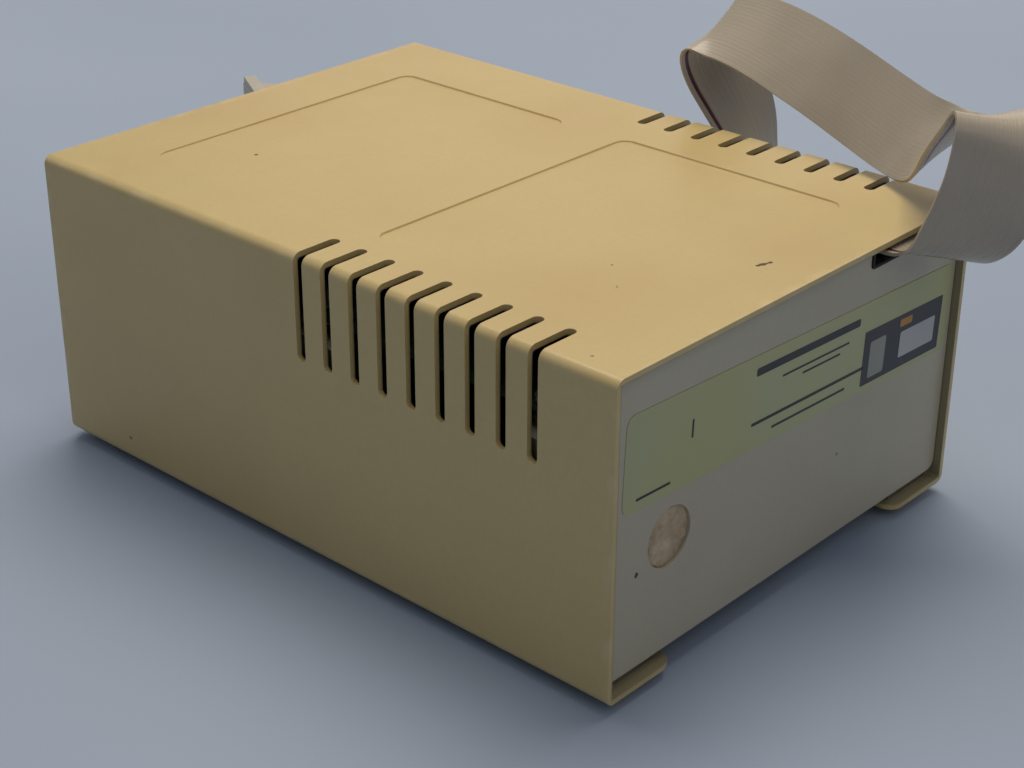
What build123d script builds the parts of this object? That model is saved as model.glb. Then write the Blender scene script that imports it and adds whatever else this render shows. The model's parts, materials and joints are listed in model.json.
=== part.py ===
from build123d import *
import math
import os

# A 5.25 inch floppy disk drive in a folded steel case, with its flat cable, in millimetres
# +Z is up and the door faces -Y, with the origin under the middle of the case, on the table
os.makedirs("parts", exist_ok=True)

# Case, one folded sheet with two turned-in flanges under it
case_width = 152.0
case_depth = 212.0
case_height = 88.0
sheet = 1.7
top_bend = 2.7
lower_bend = 2.5
flange_width = 26.0
flange_corner = 4.5
foot_height = 3.0
foot_diameter = 12.0
foot_side_inset = 12.0
foot_end_inset = 18.0
door_reach = 7.0

# Two shallow pressed panels on the top
pressing_side_margin = 25.0
pressing_shift = 3.0
pressing_depth = 0.5
pressing_corner = 4.0
pressing_slope = 30.0
pressing_front_margin = 22.5
pressing_gap = 22.0
rear_pressing_length = 77.0
pressing_rear_margin = 23.0

# Cooling slots that wrap over both long top edges
slot_count = 9
slot_width = 3.2
slot_pitch = 10.0
last_slot_margin = 25.0
slot_drop = 29.8
slot_reach = 14.5

# Back panel, set into the rear of the case
panel_recess = 2.2
panel_sheet = 1.5
panel_side_gap = 0.3
panel_top_gap = 0.5
panel_lift = 4.45
panel_lower_corner = 3.0
panel_upper_corner = 1.6
trim_hole_diameter = 16.5
trim_hole_inset = 24.6
trim_hole_height = 36.5
seal_thickness = 0.4
seal_depth = 1.0
notch_width = 31.4
notch_depth = 5.7
notch_corner = 1.2
edge_trim = 0.9
edge_trim_overhang = 0.5

# Label on the back panel
label_side_margin = 5.0
label_height = 26.0
label_thickness = 0.15
label_corner = 3.0
label_x = -1.1
label_drop = 28.4
label_tilt = 2.5

# Base plate and its screws
base_sheet = 1.5
base_side_gap = 2.3
base_front_gap = 1.0
tab_width = 14.0
tab_height = 17.0
tab_inset = 16.0
screw_diameter = 2.9
screw_clearance = 0.05
screw_head_diameter = 6.0
screw_head_height = 1.9
base_screw_length = 6.6
base_screw_inset = 10.0
base_screw_behind_foot = 12.5
base_screw_before_foot = 19.5

# Front bezel and door
bezel_gap = 0.3
bezel_proud = 2.2
bezel_thickness = 5.0
bezel_corner = 2.0
bezel_edge = 0.8
slot_side_margin = 7.5
slot_opening_height = 5.2
window_width = 52.0
window_drop = 10.0
window_rise = 10.5
window_corner = 4.0
door_width = 62.0
door_drop = 15.0
door_rise = 18.0
door_thickness = 4.0
door_edge = 1.0
grip_depth = 1.6
grip_height = 2.2
grip_count = 3
grip_pitch = 4.4
door_barrel_diameter = 4.4
door_pin_diameter = 2.0
door_side_gap = 0.3
lug_width = 3.5
running_clearance = 0.05
seat_clearance = 0.3
light_diameter = 5.0
light_inset = 24.0
light_height = 16.0
light_reach = 1.8
light_length = 8.5
light_dome = 0.9
holder_diameter = 8.6
holder_length = 4.2

# Cast chassis
deck_drop = 23.0
deck_thickness = 3.0
chassis_side_gap = 3.0
chassis_rear_gap = 9.8
wall_thickness = 3.5
wall_above_guides = 2.25
wall_window_margin = 1.4
wall_window_length = 100.0
wall_window_rounding = 0.3
ear_length = 20.0
ear_above_pivot = 5.0
board_hang = 23.3
lug_reach = 9.5
lug_length = 10.0
front_lug_inset = 7.0
rear_lug_inset = 17.0
shaft_hole_diameter = 10.0
foot_lug_width = 14.0
foot_lug_height = 5.0
foot_lug_length = 14.0

# Spindle, on which the disk turns
spindle_set_back = 69.2
disk_seat_height = 47.0
slot_above_seat = 0.75
hub_diameter = 38.0
hub_flange_thickness = 5.5
hub_stem_diameter = 12.0
hub_cup_diameter = 28.6
hub_cup_floor = 22.0
hub_cup_depth = 4.0
shaft_diameter = 6.0
bearing_diameter = 16.0
bearing_bore_gap = 0.05
bearing_width = 5.0
housing_diameter = 22.0
housing_below_deck = 3.0
housing_below_seat = 7.0
flywheel_diameter = 91.0
belt_track_diameter = 88.0
flywheel_lift = 2.8
flywheel_gap = 2.0
track_share = 0.6
web_share = 0.4
flywheel_rim = 8.0
flywheel_hub_diameter = 18.0
flywheel_hub_gap = 0.6
strobe_diameter = 82.0
strobe_bore = 22.0
strobe_thickness = 0.3

# Spindle motor, pulley and belt
motor_wall_gap = 1.5
motor_cam_gap = 5.5
motor_board_gap = 3.0
motor_edge = 2.0
motor_shaft_diameter = 3.0
motor_shaft_length = 21.0
motor_screw_spacing = 20.0
motor_screw_reach = 4.0
motor_screw_bore = 4.5
motor_pulley_diameter = 14.0
motor_pulley_flange = 17.0
motor_pulley_height = 9.0
shaft_end_gap = 1.0
belt_thickness = 0.9
belt_side_gap = 0.8
belt_gap = 0.3

# Stepper motor and spiral cam, which set the head's track
stepper_set_back = 86.5
stepper_diameter = 42.0
stepper_lift = 1.0
stepper_flange = 2.0
stepper_ear_spacing = 49.0
stepper_ear_width = 8.0
stepper_shaft_diameter = 5.0
stepper_screw_short = 0.5
cam_lift = 1.5
cam_thickness = 4.5
cam_inner_radius = 7.3
head_travel = 18.0
cam_turn = 244.8
groove_width = 3.2
groove_depth = 2.8
groove_overrun = 14.0
cam_rim = 1.6
follower_diameter = 2.6

# Head carriage on two rods
rod_diameter = 5.0
rod_spacing = 28.0
rod_lift = 4.0
rod_set_back = 30.5
rod_rear_gap = 5.0
rod_clearance = 0.06
post_width = 8.0
post_length = 5.0
post_above_rod = 4.0
carriage_width = 38.0
carriage_lead = 1.35
carriage_lift = 1.0
carriage_height = 8.0
nose_width = 16.0
nose_length = 14.0
nose_height = 6.0
outer_track_radius = 57.15
head_width = 9.0
head_block_height = 3.6
head_button_diameter = 5.0
head_gap = 0.2

# Pressure pad arm, hinged on the carriage
pad_pivot_set_back = 11.3
pad_pivot_rise = 5.0
pad_post_head = 1.0
pad_post_width = 4.0
pad_post_length = 8.0
pad_post_gap = 14.0
pad_pin_diameter = 2.5
pad_barrel_diameter = 6.0
pad_arm_width = 10.0
pad_arm_thickness = 2.5
pad_arm_tip = 5.0
pad_diameter = 5.0
pad_thickness = 1.3
pad_cup_diameter = 7.0

# Clamp arm and centring cone
clamp_pivot_set_back = 28.5
clamp_pivot_rise = 15.0
clamp_pin_diameter = 4.0
clamp_barrel_diameter = 7.0
clamp_arm_width = 40.0
clamp_front_gap = 11.7
clamp_arm_rise = 9.0
clamp_arm_sheet = 2.0
clamp_rib = 6.0
clamp_rib_sheet = 1.5
clamp_barrel_overhang = 2.0
cone_boss_diameter = 13.0
cone_boss_depth = 4.0
cone_stem_diameter = 8.0
cone_flange_diameter = 36.0
cone_flange_thickness = 3.2
cone_retainer_diameter = 12.0
cone_retainer_thickness = 1.2
cone_tip = 0.8

# Disk guides and the write-protect switch
guide_depth = 8.5
guide_groove_depth = 6.2
guide_groove_height = 4.8
guide_height = 12.0
guide_front_gap = 7.7
guide_length = 128.0
guide_flare = 1.5
switch_length = 20.0
switch_width = 12.0
switch_height = 7.0
switch_ahead = 29.5
lever_length = 16.0
lever_drop = 1.9
lever_thickness = 0.8
lever_pin_diameter = 1.2
lever_lug_width = 1.2
lever_arm_width = 0.6
lever_side_gap = 0.2
lever_inset = 10.0
lever_lug_radius = 1.0
lever_end_gap = 2.0
lever_pivot_drop = 1.0
lever_fork_length = 3.6

# Circuit boards
board_sheet = 1.6
board_side_gap = 8.0
board_set_back = 32.5
standoff_height = 4.0
standoff_across = 6.0
board_screw_inset = 11.5
chip_length = 19.5
chip_width = 7.4
chip_height = 3.8
chip_columns = 3
chip_rows = 3
chip_pitch_x = 26.0
chip_pitch_y = 17.0
chips_x = 4.0
board_parts_shift = 1.0
capacitor_diameter = 6.5
capacitor_height = 11.0
capacitor_count = 3
capacitor_pitch = 11.0
capacitor_inset = 24.0
header_length = 33.0
header_width = 8.9
header_height = 8.5
header_wall = 1.0
header_rear_gap = 2.4
socket_length = 30.0
socket_width = 6.2
socket_height = 12.4
socket_ribbon_drop = 1.7
speed_board_width = 27.0
speed_board_height = 31.0
speed_board_shift = 5.9
speed_board_gap = 14.8
trimmer_size = 9.5
trimmer_depth = 5.0
trimmer_rotor_diameter = 6.0
trimmer_rotor_reach = 1.8
trimmer_slot = 1.0

# Flat cable of twenty wires and its plug
ribbon_width = 25.4
ribbon_thickness = 1.0
ribbon_inset = 30.3
ribbon_drop = 3.1
plug_x = -168.0
plug_y = -297.1
plug_angle = 60.97
plug_length = 30.5
plug_width = 6.2
plug_body_height = 7.2
plug_cap_height = 2.8
plug_cap_inset = 0.4
plug_ribbon_height = 6.5
plug_key_width = 4.0
plug_key_depth = 0.8
plug_key_drop = 2.0
plug_last_run = 22.0
plug_pocket_length = 3.0
plug_pocket_depth = 1.2

# Places of the case's pieces
case_front = (door_reach - case_depth) / 2
case_rear = case_front + case_depth
case_top = foot_height + case_height
side_inner = case_width / 2 - sheet
roof = case_top - sheet
pressing_width = case_width - 2 * pressing_side_margin
rear_pressing_start = case_depth - pressing_rear_margin - rear_pressing_length
front_pressing_length = rear_pressing_start - pressing_gap - pressing_front_margin
first_slot = case_depth - last_slot_margin - (slot_count - 1) * slot_pitch
base_bottom = foot_height + sheet
base_top = base_bottom + base_sheet
flange_tip = case_width / 2 - flange_width
foot_x = case_width / 2 - foot_side_inset
foot_front = case_front + foot_end_inset
foot_rear = case_rear - foot_end_inset
base_screw_x = case_width / 2 - base_screw_inset
base_screw_ys = (foot_front + base_screw_behind_foot, foot_rear - base_screw_before_foot)
panel_face = case_rear - panel_recess
panel_back = panel_face - panel_sheet
panel_bottom = foot_height + panel_lift
panel_top = roof - panel_top_gap
notch_bottom = roof - notch_depth
trim_hole_x = case_width / 2 - trim_hole_inset
trimmer_height = foot_height + trim_hole_height
label_width = case_width - 2 * label_side_margin
tab_x = case_width / 2 - tab_inset
bezel_face = case_front - bezel_proud
bezel_back = bezel_face + bezel_thickness
slot_opening_width = case_width - 2 * slot_side_margin
light_x = light_inset - case_width / 2
ribbon_x = ribbon_inset - case_width / 2
ribbon_height = roof - ribbon_drop + sheet
ribbon_exit = (ribbon_x, panel_face, ribbon_height)

# Places of the mechanism, counted from the bezel's back, the disk's seat and the roof
spindle_y = bezel_back + spindle_set_back
slot_height = disk_seat_height + slot_above_seat
deck_height = disk_seat_height - deck_drop
deck_top = deck_height + deck_thickness
chassis_width = case_width - 2 * chassis_side_gap
chassis_rear = panel_back - chassis_rear_gap
chassis_length = chassis_rear - bezel_back
wall_inner = chassis_width / 2 - wall_thickness
wall_height = slot_height + guide_height / 2 + wall_above_guides
wall_window_height = deck_height - base_top - foot_lug_height - 2 * wall_window_margin
wall_window_corner = wall_window_rounding * wall_window_height
lug_height = roof - board_hang
lug_depth = lug_height - wall_height
housing_bottom = deck_height - housing_below_deck
housing_top = disk_seat_height - housing_below_seat
flywheel_bottom = base_top + flywheel_lift
flywheel_height = housing_bottom - flywheel_gap - flywheel_bottom
flywheel_hub_height = housing_bottom - flywheel_hub_gap - flywheel_bottom
flywheel_web = web_share * flywheel_height
track_width = track_share * flywheel_height
track_bottom = (flywheel_height - track_width) / 2
belt_width = track_width - 2 * belt_side_gap
stepper_y = spindle_y + stepper_set_back
stepper_height = deck_height - stepper_flange - stepper_lift - base_top
cam_bottom = deck_top + cam_lift
cam_top = cam_bottom + cam_thickness
cam_radius = cam_inner_radius + head_travel + groove_width / 2 + cam_rim
motor_diameter = wall_inner - motor_wall_gap - motor_cam_gap - cam_radius
motor_x = motor_wall_gap + motor_diameter / 2 - wall_inner
motor_y = stepper_y
motor_height = lug_height - motor_board_gap - deck_top
head_y = spindle_y + outer_track_radius
follower_y = stepper_y - cam_inner_radius
pad_pivot_y = follower_y + pad_pivot_set_back
pad_pivot_height = disk_seat_height + pad_pivot_rise
carriage_start = head_y + carriage_lead
carriage_length = pad_pivot_y + pad_post_length / 2 - carriage_start
carriage_bottom = cam_top + carriage_lift
carriage_top = carriage_bottom + carriage_height
rod_height = carriage_bottom + rod_lift
rod_start = spindle_y + rod_set_back
rod_length = chassis_rear - rod_rear_gap - rod_start
post_height = rod_height + post_above_rod
clamp_pivot_y = spindle_y + clamp_pivot_set_back
clamp_pivot_height = disk_seat_height + clamp_pivot_rise
clamp_arm_front = bezel_back + clamp_front_gap
clamp_arm_height = disk_seat_height + clamp_arm_rise
ear_height = clamp_pivot_height + ear_above_pivot
guide_front = bezel_back + guide_front_gap
switch_y = spindle_y - switch_ahead
board_bottom = lug_height + standoff_height
board_top = board_bottom + board_sheet
board_width = case_width - 2 * board_side_gap
board_front = spindle_y + board_set_back
board_length = chassis_rear - board_front
board_parts_y = board_front + board_length / 2 + board_parts_shift
board_screw_x = case_width / 2 - board_screw_inset
capacitors_x = case_width / 2 - capacitor_inset
front_lug_y = board_front + front_lug_inset
rear_lug_y = chassis_rear - rear_lug_inset
speed_board_x = trim_hole_x - speed_board_shift
speed_board_y = panel_back - speed_board_gap


def save(piece, name):
    """Label a finished piece and write it."""
    piece.part.label = name
    export_step(piece.part, f"parts/{name}.step")


def facing_front(y):
    """Plane across the depth at y, with X to the right and Z up, that faces the front."""
    return Plane.XZ.offset(-y)


# Outer cover: a folded U with flanges, pressed panels on top and wrapped cooling slots
pressings = (
    (pressing_front_margin, front_pressing_length),
    (rear_pressing_start, rear_pressing_length),
)
with BuildPart() as outer_cover:
    for inset, how in ((0, Mode.ADD), (sheet, Mode.SUBTRACT)):
        with BuildSketch(facing_front(case_rear)) as section:
            with Locations((0, foot_height + case_height / 2)):
                Rectangle(case_width - 2 * inset, case_height - 2 * inset)
            fillet(section.vertices().group_by(Axis.Y)[-1], radius=top_bend - inset)
            fillet(section.vertices().group_by(Axis.Y)[0], radius=lower_bend - inset)
        extrude(amount=case_depth, mode=how)
    with BuildSketch(Plane.XY.offset(foot_height)):
        with Locations((0, (case_front + case_rear) / 2)):
            Rectangle(2 * flange_tip, case_depth)
    extrude(amount=sheet, mode=Mode.SUBTRACT)
    tips = outer_cover.edges().filter_by(Axis.Z).filter_by(lambda e: e.center().Z < base_bottom)
    fillet(tips, radius=flange_corner)
    for start, length in pressings:
        middle = case_front + start + length / 2
        with BuildSketch(Plane.XY.offset(roof)):
            with Locations((pressing_shift, middle)):
                RectangleRounded(pressing_width, length, pressing_corner)
        extrude(amount=-pressing_depth)
        with BuildSketch(Plane.XY.offset(case_top)):
            with Locations((pressing_shift, middle)):
                RectangleRounded(pressing_width, length, pressing_corner)
        extrude(amount=-pressing_depth, taper=pressing_slope, mode=Mode.SUBTRACT)
    for side in (-1, 1):
        face = case_width / 2
        for number in range(slot_count):
            slot_y = case_front + first_slot + number * slot_pitch
            with BuildSketch(Plane.YZ.offset(side * (face + 1))):
                with Locations((slot_y, case_top - slot_drop / 2 + slot_width / 2)):
                    SlotOverall(slot_drop + slot_width, slot_width, rotation=90)
            extrude(amount=-side * (top_bend + 1), mode=Mode.SUBTRACT)
            with BuildSketch(Plane.XY.offset(case_top + 1)):
                with Locations((side * (face - slot_reach / 2 + slot_width / 2), slot_y)):
                    SlotOverall(slot_reach + slot_width, slot_width)
            extrude(amount=-(top_bend + 1), mode=Mode.SUBTRACT)
    for x in (-base_screw_x, base_screw_x):
        for y in base_screw_ys:
            with BuildSketch(Plane.XY.offset(foot_height)):
                with Locations((x, y)):
                    Circle(screw_diameter / 2 + seat_clearance)
            extrude(amount=sheet, mode=Mode.SUBTRACT)
save(outer_cover, "outer_cover")

# Back panel with the sealed adjusting hole and the cable notch
with BuildPart() as back_panel:
    with BuildSketch(facing_front(panel_face)) as outline:
        with Locations((0, (panel_bottom + panel_top) / 2)):
            Rectangle(2 * (side_inner - panel_side_gap), panel_top - panel_bottom)
        fillet(outline.vertices().group_by(Axis.Y)[-1], radius=panel_upper_corner)
        fillet(outline.vertices().group_by(Axis.Y)[0], radius=panel_lower_corner)
        with Locations((trim_hole_x, trimmer_height)):
            Circle(trim_hole_diameter / 2, mode=Mode.SUBTRACT)
    extrude(amount=panel_sheet)
    with BuildSketch(facing_front(panel_face)) as notch:
        with Locations((ribbon_x, notch_bottom + notch_depth)):
            Rectangle(notch_width, 2 * notch_depth)
        fillet(notch.vertices().group_by(Axis.Y)[0], radius=notch_corner)
    extrude(amount=panel_sheet, mode=Mode.SUBTRACT)
save(back_panel, "back_panel")

# Black edge trim round the notch
with BuildPart() as cable_notch_trim:
    with BuildSketch(facing_front(panel_face + edge_trim_overhang)) as strip:
        with Locations((ribbon_x, notch_bottom + notch_depth)):
            Rectangle(notch_width, 2 * notch_depth)
        fillet(strip.vertices().group_by(Axis.Y)[0], radius=notch_corner)
        with Locations((ribbon_x, notch_bottom + notch_depth + edge_trim)):
            Rectangle(notch_width - 2 * edge_trim, 2 * notch_depth, mode=Mode.SUBTRACT)
        with Locations((ribbon_x, panel_top + case_height)):
            Rectangle(2 * case_width, 2 * case_height, mode=Mode.SUBTRACT)
    extrude(amount=panel_sheet + 2 * edge_trim_overhang)
save(cable_notch_trim, "cable_notch_trim")

# Paper seal pressed into the adjusting hole
with BuildPart() as hole_seal:
    with BuildSketch(facing_front(panel_face - seal_depth)):
        with Locations((trim_hole_x, trimmer_height)):
            Circle(trim_hole_diameter / 2)
    extrude(amount=seal_thickness)
save(hole_seal, "hole_seal")

# Label, stuck on slightly askew
with BuildPart() as rating_label:
    with BuildSketch(facing_front(panel_face + label_thickness)):
        with Locations(Location((label_x, case_top - label_drop), label_tilt)):
            RectangleRounded(label_width, label_height, label_corner)
    extrude(amount=label_thickness)
save(rating_label, "rating_label")

# Base plate on the flanges, with two tabs bent up behind the back panel
base_front = case_front + base_front_gap
with BuildPart() as base_plate:
    with BuildSketch(Plane.XY.offset(base_bottom)) as base_outline:
        with Locations((0, (base_front + panel_back) / 2)):
            Rectangle(2 * (side_inner - base_side_gap), panel_back - base_front)
        with Locations((0, panel_back - base_sheet)):
            Rectangle(2 * tab_x - tab_width, 4 * base_sheet, mode=Mode.SUBTRACT)
        for x in (-base_screw_x, base_screw_x):
            with Locations(*[(x, y) for y in base_screw_ys]):
                Circle(screw_diameter / 2 + seat_clearance, mode=Mode.SUBTRACT)
    extrude(amount=base_sheet)
    with BuildSketch(facing_front(panel_back)):
        with Locations((-tab_x, base_bottom), (tab_x, base_bottom)):
            Rectangle(tab_width, tab_height, align=(Align.CENTER, Align.MIN))
    extrude(amount=base_sheet)
save(base_plate, "base_plate")

# Four rubber feet under the flanges
with BuildPart() as rubber_feet:
    with BuildSketch():
        for x in (-foot_x, foot_x):
            with Locations((x, foot_front), (x, foot_rear)):
                Circle(foot_diameter / 2)
    extrude(amount=foot_height)
save(rubber_feet, "rubber_feet")

# Four screws from below through flange and base plate into the chassis
with BuildPart() as case_screws:
    for x in (-base_screw_x, base_screw_x):
        for y in base_screw_ys:
            with BuildSketch(Plane.XY.offset(foot_height)):
                with Locations((x, y)):
                    Circle(screw_head_diameter / 2)
            extrude(amount=-screw_head_height)
            with BuildSketch(Plane.XY.offset(foot_height)):
                with Locations((x, y)):
                    Circle(screw_diameter / 2)
            extrude(amount=base_screw_length)
save(case_screws, "case_screws")

# Front bezel with the disk slot, the finger window, the light's hole and the door's lugs
door_axis_y = bezel_face - seat_clearance - door_barrel_diameter / 2
door_axis_z = slot_height + door_rise
bezel_low = base_top + bezel_gap
bezel_high = roof - bezel_gap
lug_inner = door_width / 2 + door_side_gap
with BuildPart() as front_bezel:
    with BuildSketch(facing_front(bezel_back)) as front_outline:
        with Locations((0, (bezel_low + bezel_high) / 2)):
            RectangleRounded(2 * (side_inner - bezel_gap), bezel_high - bezel_low, bezel_corner)
    extrude(amount=bezel_thickness)
    front_rim = front_bezel.faces().sort_by(Axis.Y)[0].edges()
    fillet(front_rim, radius=bezel_edge)
    with BuildSketch(facing_front(bezel_face)) as openings:
        with Locations((0, slot_height)):
            Rectangle(slot_opening_width, slot_opening_height)
        with Locations((0, slot_height + (window_rise - window_drop) / 2)):
            RectangleRounded(window_width, window_drop + window_rise, window_corner)
        with Locations((light_x, light_height)):
            Circle(light_diameter / 2 + seat_clearance)
    extrude(amount=-bezel_thickness, mode=Mode.SUBTRACT)
    for side in (-1, 1):
        with BuildSketch(Plane.YZ.offset(side * lug_inner)):
            with Locations((door_axis_y, door_axis_z)):
                Circle(door_barrel_diameter / 2)
                Rectangle(
                    bezel_face - door_axis_y + bezel_edge,
                    door_barrel_diameter,
                    align=(Align.MIN, Align.CENTER),
                )
        extrude(amount=side * lug_width)
    with BuildSketch(Plane.YZ.offset(-lug_inner - lug_width)):
        with Locations((door_axis_y, door_axis_z)):
            Circle(door_pin_diameter / 2)
    extrude(amount=2 * (lug_inner + lug_width), mode=Mode.SUBTRACT)
save(front_bezel, "front_bezel")

with BuildPart() as door_hinge_pin:
    with BuildSketch(Plane.YZ.offset(-lug_inner - lug_width)):
        with Locations((door_axis_y, door_axis_z)):
            Circle(door_pin_diameter / 2)
    extrude(amount=2 * (lug_inner + lug_width))
save(door_hinge_pin, "door_hinge_pin")

# Door: a flap below its barrel, with finger ridges along its foot
door_front = case_front - door_reach
door_foot = slot_height - door_drop
with BuildPart() as door:
    with BuildSketch(facing_front(door_front)):
        with Locations((0, door_foot)):
            Rectangle(door_width, door_axis_z - door_foot, align=(Align.CENTER, Align.MIN))
    extrude(amount=-door_thickness)
    lower_front = door.edges().filter_by(Axis.X).sort_by(Axis.Z)[:2]
    fillet(lower_front, radius=door_edge)
    for number in range(grip_count):
        ridge = door_foot + grip_pitch * (number + 1)
        with BuildSketch(facing_front(door_front)):
            with Locations((0, ridge)):
                Rectangle(door_width, grip_height)
        extrude(amount=-grip_depth, mode=Mode.SUBTRACT)
    with BuildSketch(Plane.YZ.offset(-door_width / 2)):
        with Locations((door_axis_y, door_axis_z)):
            Circle(door_barrel_diameter / 2)
    extrude(amount=door_width)
    with BuildSketch(Plane.YZ.offset(-door_width / 2)):
        with Locations((door_axis_y, door_axis_z)):
            Circle(door_pin_diameter / 2 + running_clearance)
    extrude(amount=door_width, mode=Mode.SUBTRACT)
save(door, "door")

# Activity light and its holder behind the bezel
light_back = bezel_face - light_reach + light_length
with BuildPart() as activity_light:
    with BuildSketch(facing_front(light_back)):
        with Locations((light_x, light_height)):
            Circle(light_diameter / 2)
    extrude(amount=light_length)
    fillet(activity_light.edges().sort_by(Axis.Y)[0], radius=light_dome * light_diameter / 2)
save(activity_light, "activity_light")

with BuildPart() as led_holder:
    with BuildSketch(facing_front(bezel_back)):
        with Locations((light_x, light_height)):
            Circle(holder_diameter / 2)
            Circle(light_diameter / 2 + running_clearance, mode=Mode.SUBTRACT)
    extrude(amount=-holder_length)
save(led_holder, "led_holder")

# Cast chassis: deck, side walls, spindle housing, rod posts and the lugs that carry the board
motor_at = (motor_x, motor_y)
stepper_at = (0, stepper_y)
spindle_at = (0, spindle_y)
rod_x = rod_spacing / 2
post_places = (rod_start, rod_start + rod_length - post_length)
stepper_ears = [(x, stepper_y) for x in (-stepper_ear_spacing / 2, stepper_ear_spacing / 2)]
motor_screw_at = [(motor_x, motor_y + s * motor_screw_spacing / 2) for s in (-1, 1)]
with BuildPart() as drive_chassis:
    with BuildSketch(Plane.XY.offset(deck_height)):
        with Locations((0, (bezel_back + chassis_rear) / 2)):
            Rectangle(chassis_width, chassis_length)
    extrude(amount=deck_thickness)
    for side in (-1, 1):
        with BuildSketch(Plane.YZ.offset(side * wall_inner)):
            with Locations((bezel_back, base_top)):
                Rectangle(chassis_length, wall_height - base_top, align=(Align.MIN, Align.MIN))
            with Locations((clamp_pivot_y, base_top)):
                Rectangle(ear_length, ear_height - base_top, align=(Align.CENTER, Align.MIN))
            with Locations((0, (base_top + foot_lug_height + deck_height) / 2)):
                RectangleRounded(
                    wall_window_length,
                    wall_window_height,
                    wall_window_corner,
                    mode=Mode.SUBTRACT,
                )
        extrude(amount=side * wall_thickness)
        for y in (front_lug_y, rear_lug_y):
            with BuildSketch(facing_front(y + lug_length / 2)):
                with Locations((side * (wall_inner + wall_thickness), lug_height)):
                    Rectangle(
                        lug_reach + wall_thickness,
                        lug_depth,
                        align=(Align.MAX if side > 0 else Align.MIN, Align.MAX),
                    )
            extrude(amount=lug_length)
        for y in base_screw_ys:
            with BuildSketch(Plane.XY.offset(base_top)):
                with Locations((side * chassis_width / 2, y)):
                    Rectangle(
                        foot_lug_width,
                        foot_lug_length,
                        align=(Align.MAX if side > 0 else Align.MIN, Align.CENTER),
                    )
            extrude(amount=foot_lug_height)
            with BuildSketch(Plane.XY.offset(base_top)):
                with Locations((side * base_screw_x, y)):
                    Circle(screw_diameter / 2 + screw_clearance)
            extrude(amount=foot_lug_height, mode=Mode.SUBTRACT)
        with BuildSketch(Plane.YZ.offset(side * wall_inner)):
            with Locations((clamp_pivot_y, clamp_pivot_height)):
                Circle(clamp_pin_diameter / 2)
        extrude(amount=side * wall_thickness, mode=Mode.SUBTRACT)
        for y in post_places:
            with BuildSketch(Plane.XY.offset(deck_top)):
                with Locations((side * rod_x, y)):
                    Rectangle(post_width, post_length, align=(Align.CENTER, Align.MIN))
            extrude(amount=post_height - deck_top)
            with BuildSketch(facing_front(y)):
                with Locations((side * rod_x, rod_height)):
                    Circle(rod_diameter / 2)
            extrude(amount=-post_length, mode=Mode.SUBTRACT)
    with BuildSketch(Plane.XY.offset(housing_bottom)):
        with Locations(spindle_at):
            Circle(housing_diameter / 2)
    extrude(amount=housing_top - housing_bottom)
    with BuildSketch(Plane.XY.offset(housing_bottom)):
        with Locations(spindle_at):
            Circle(bearing_diameter / 2)
    extrude(amount=housing_top - housing_bottom, mode=Mode.SUBTRACT)
    with BuildSketch(Plane.XY.offset(deck_height)):
        with Locations(motor_at, stepper_at):
            Circle(shaft_hole_diameter / 2)
        with Locations(*stepper_ears, *motor_screw_at):
            Circle(screw_diameter / 2 + screw_clearance)
    extrude(amount=deck_thickness, mode=Mode.SUBTRACT)
    for side in (-1, 1):
        for y in (front_lug_y, rear_lug_y):
            with BuildSketch(Plane.XY.offset(lug_height)):
                with Locations((side * board_screw_x, y)):
                    Circle(screw_diameter / 2 + screw_clearance)
            extrude(amount=-lug_depth, mode=Mode.SUBTRACT)
save(drive_chassis, "drive_chassis")


# Disk guides: plastic rails on the walls, each with a flared groove for the disk's edge
def disk_guide(side):
    """Rail on one wall, with its groove open towards the middle."""
    inner = wall_inner - guide_depth
    groove_end = inner + guide_groove_depth
    low = slot_height - guide_height / 2
    with BuildPart() as guide:
        with BuildSketch(facing_front(guide_front)):
            with Locations((side * (inner + wall_inner) / 2, low + guide_height / 2)):
                Rectangle(guide_depth, guide_height)
            with Locations((side * (inner + groove_end) / 2, slot_height)):
                Rectangle(guide_groove_depth, guide_groove_height, mode=Mode.SUBTRACT)
        extrude(amount=-guide_length)
        mouth = guide.edges().filter_by(Axis.X).filter_by(
            lambda e: abs(e.center().Y - guide_front) < guide_flare
            and abs(abs(e.center().Z - slot_height) - guide_groove_height / 2) < guide_flare
        )
        chamfer(mouth, length=guide_flare)
    return guide


save(disk_guide(-1), "disk_guide_left")
save(disk_guide(1), "disk_guide_right")

# Spindle: shaft in two ball bearings, hub with a tapered cup above, flywheel below
shaft_top = disk_seat_height - hub_cup_depth
with BuildPart() as spindle_shaft:
    with BuildSketch(Plane.XY.offset(flywheel_bottom)):
        with Locations(spindle_at):
            Circle(shaft_diameter / 2)
    extrude(amount=shaft_top - flywheel_bottom)
save(spindle_shaft, "spindle_shaft")


def ball_bearing(bottom):
    """Bearing whose bore clears the shaft by the running gap."""
    with BuildPart() as bearing:
        with BuildSketch(Plane.XY.offset(bottom)):
            with Locations(spindle_at):
                Circle(bearing_diameter / 2)
                Circle(shaft_diameter / 2 + bearing_bore_gap, mode=Mode.SUBTRACT)
        extrude(amount=bearing_width)
    return bearing


save(ball_bearing(housing_top - bearing_width), "spindle_bearing_upper")
save(ball_bearing(housing_bottom), "spindle_bearing_lower")

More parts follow.
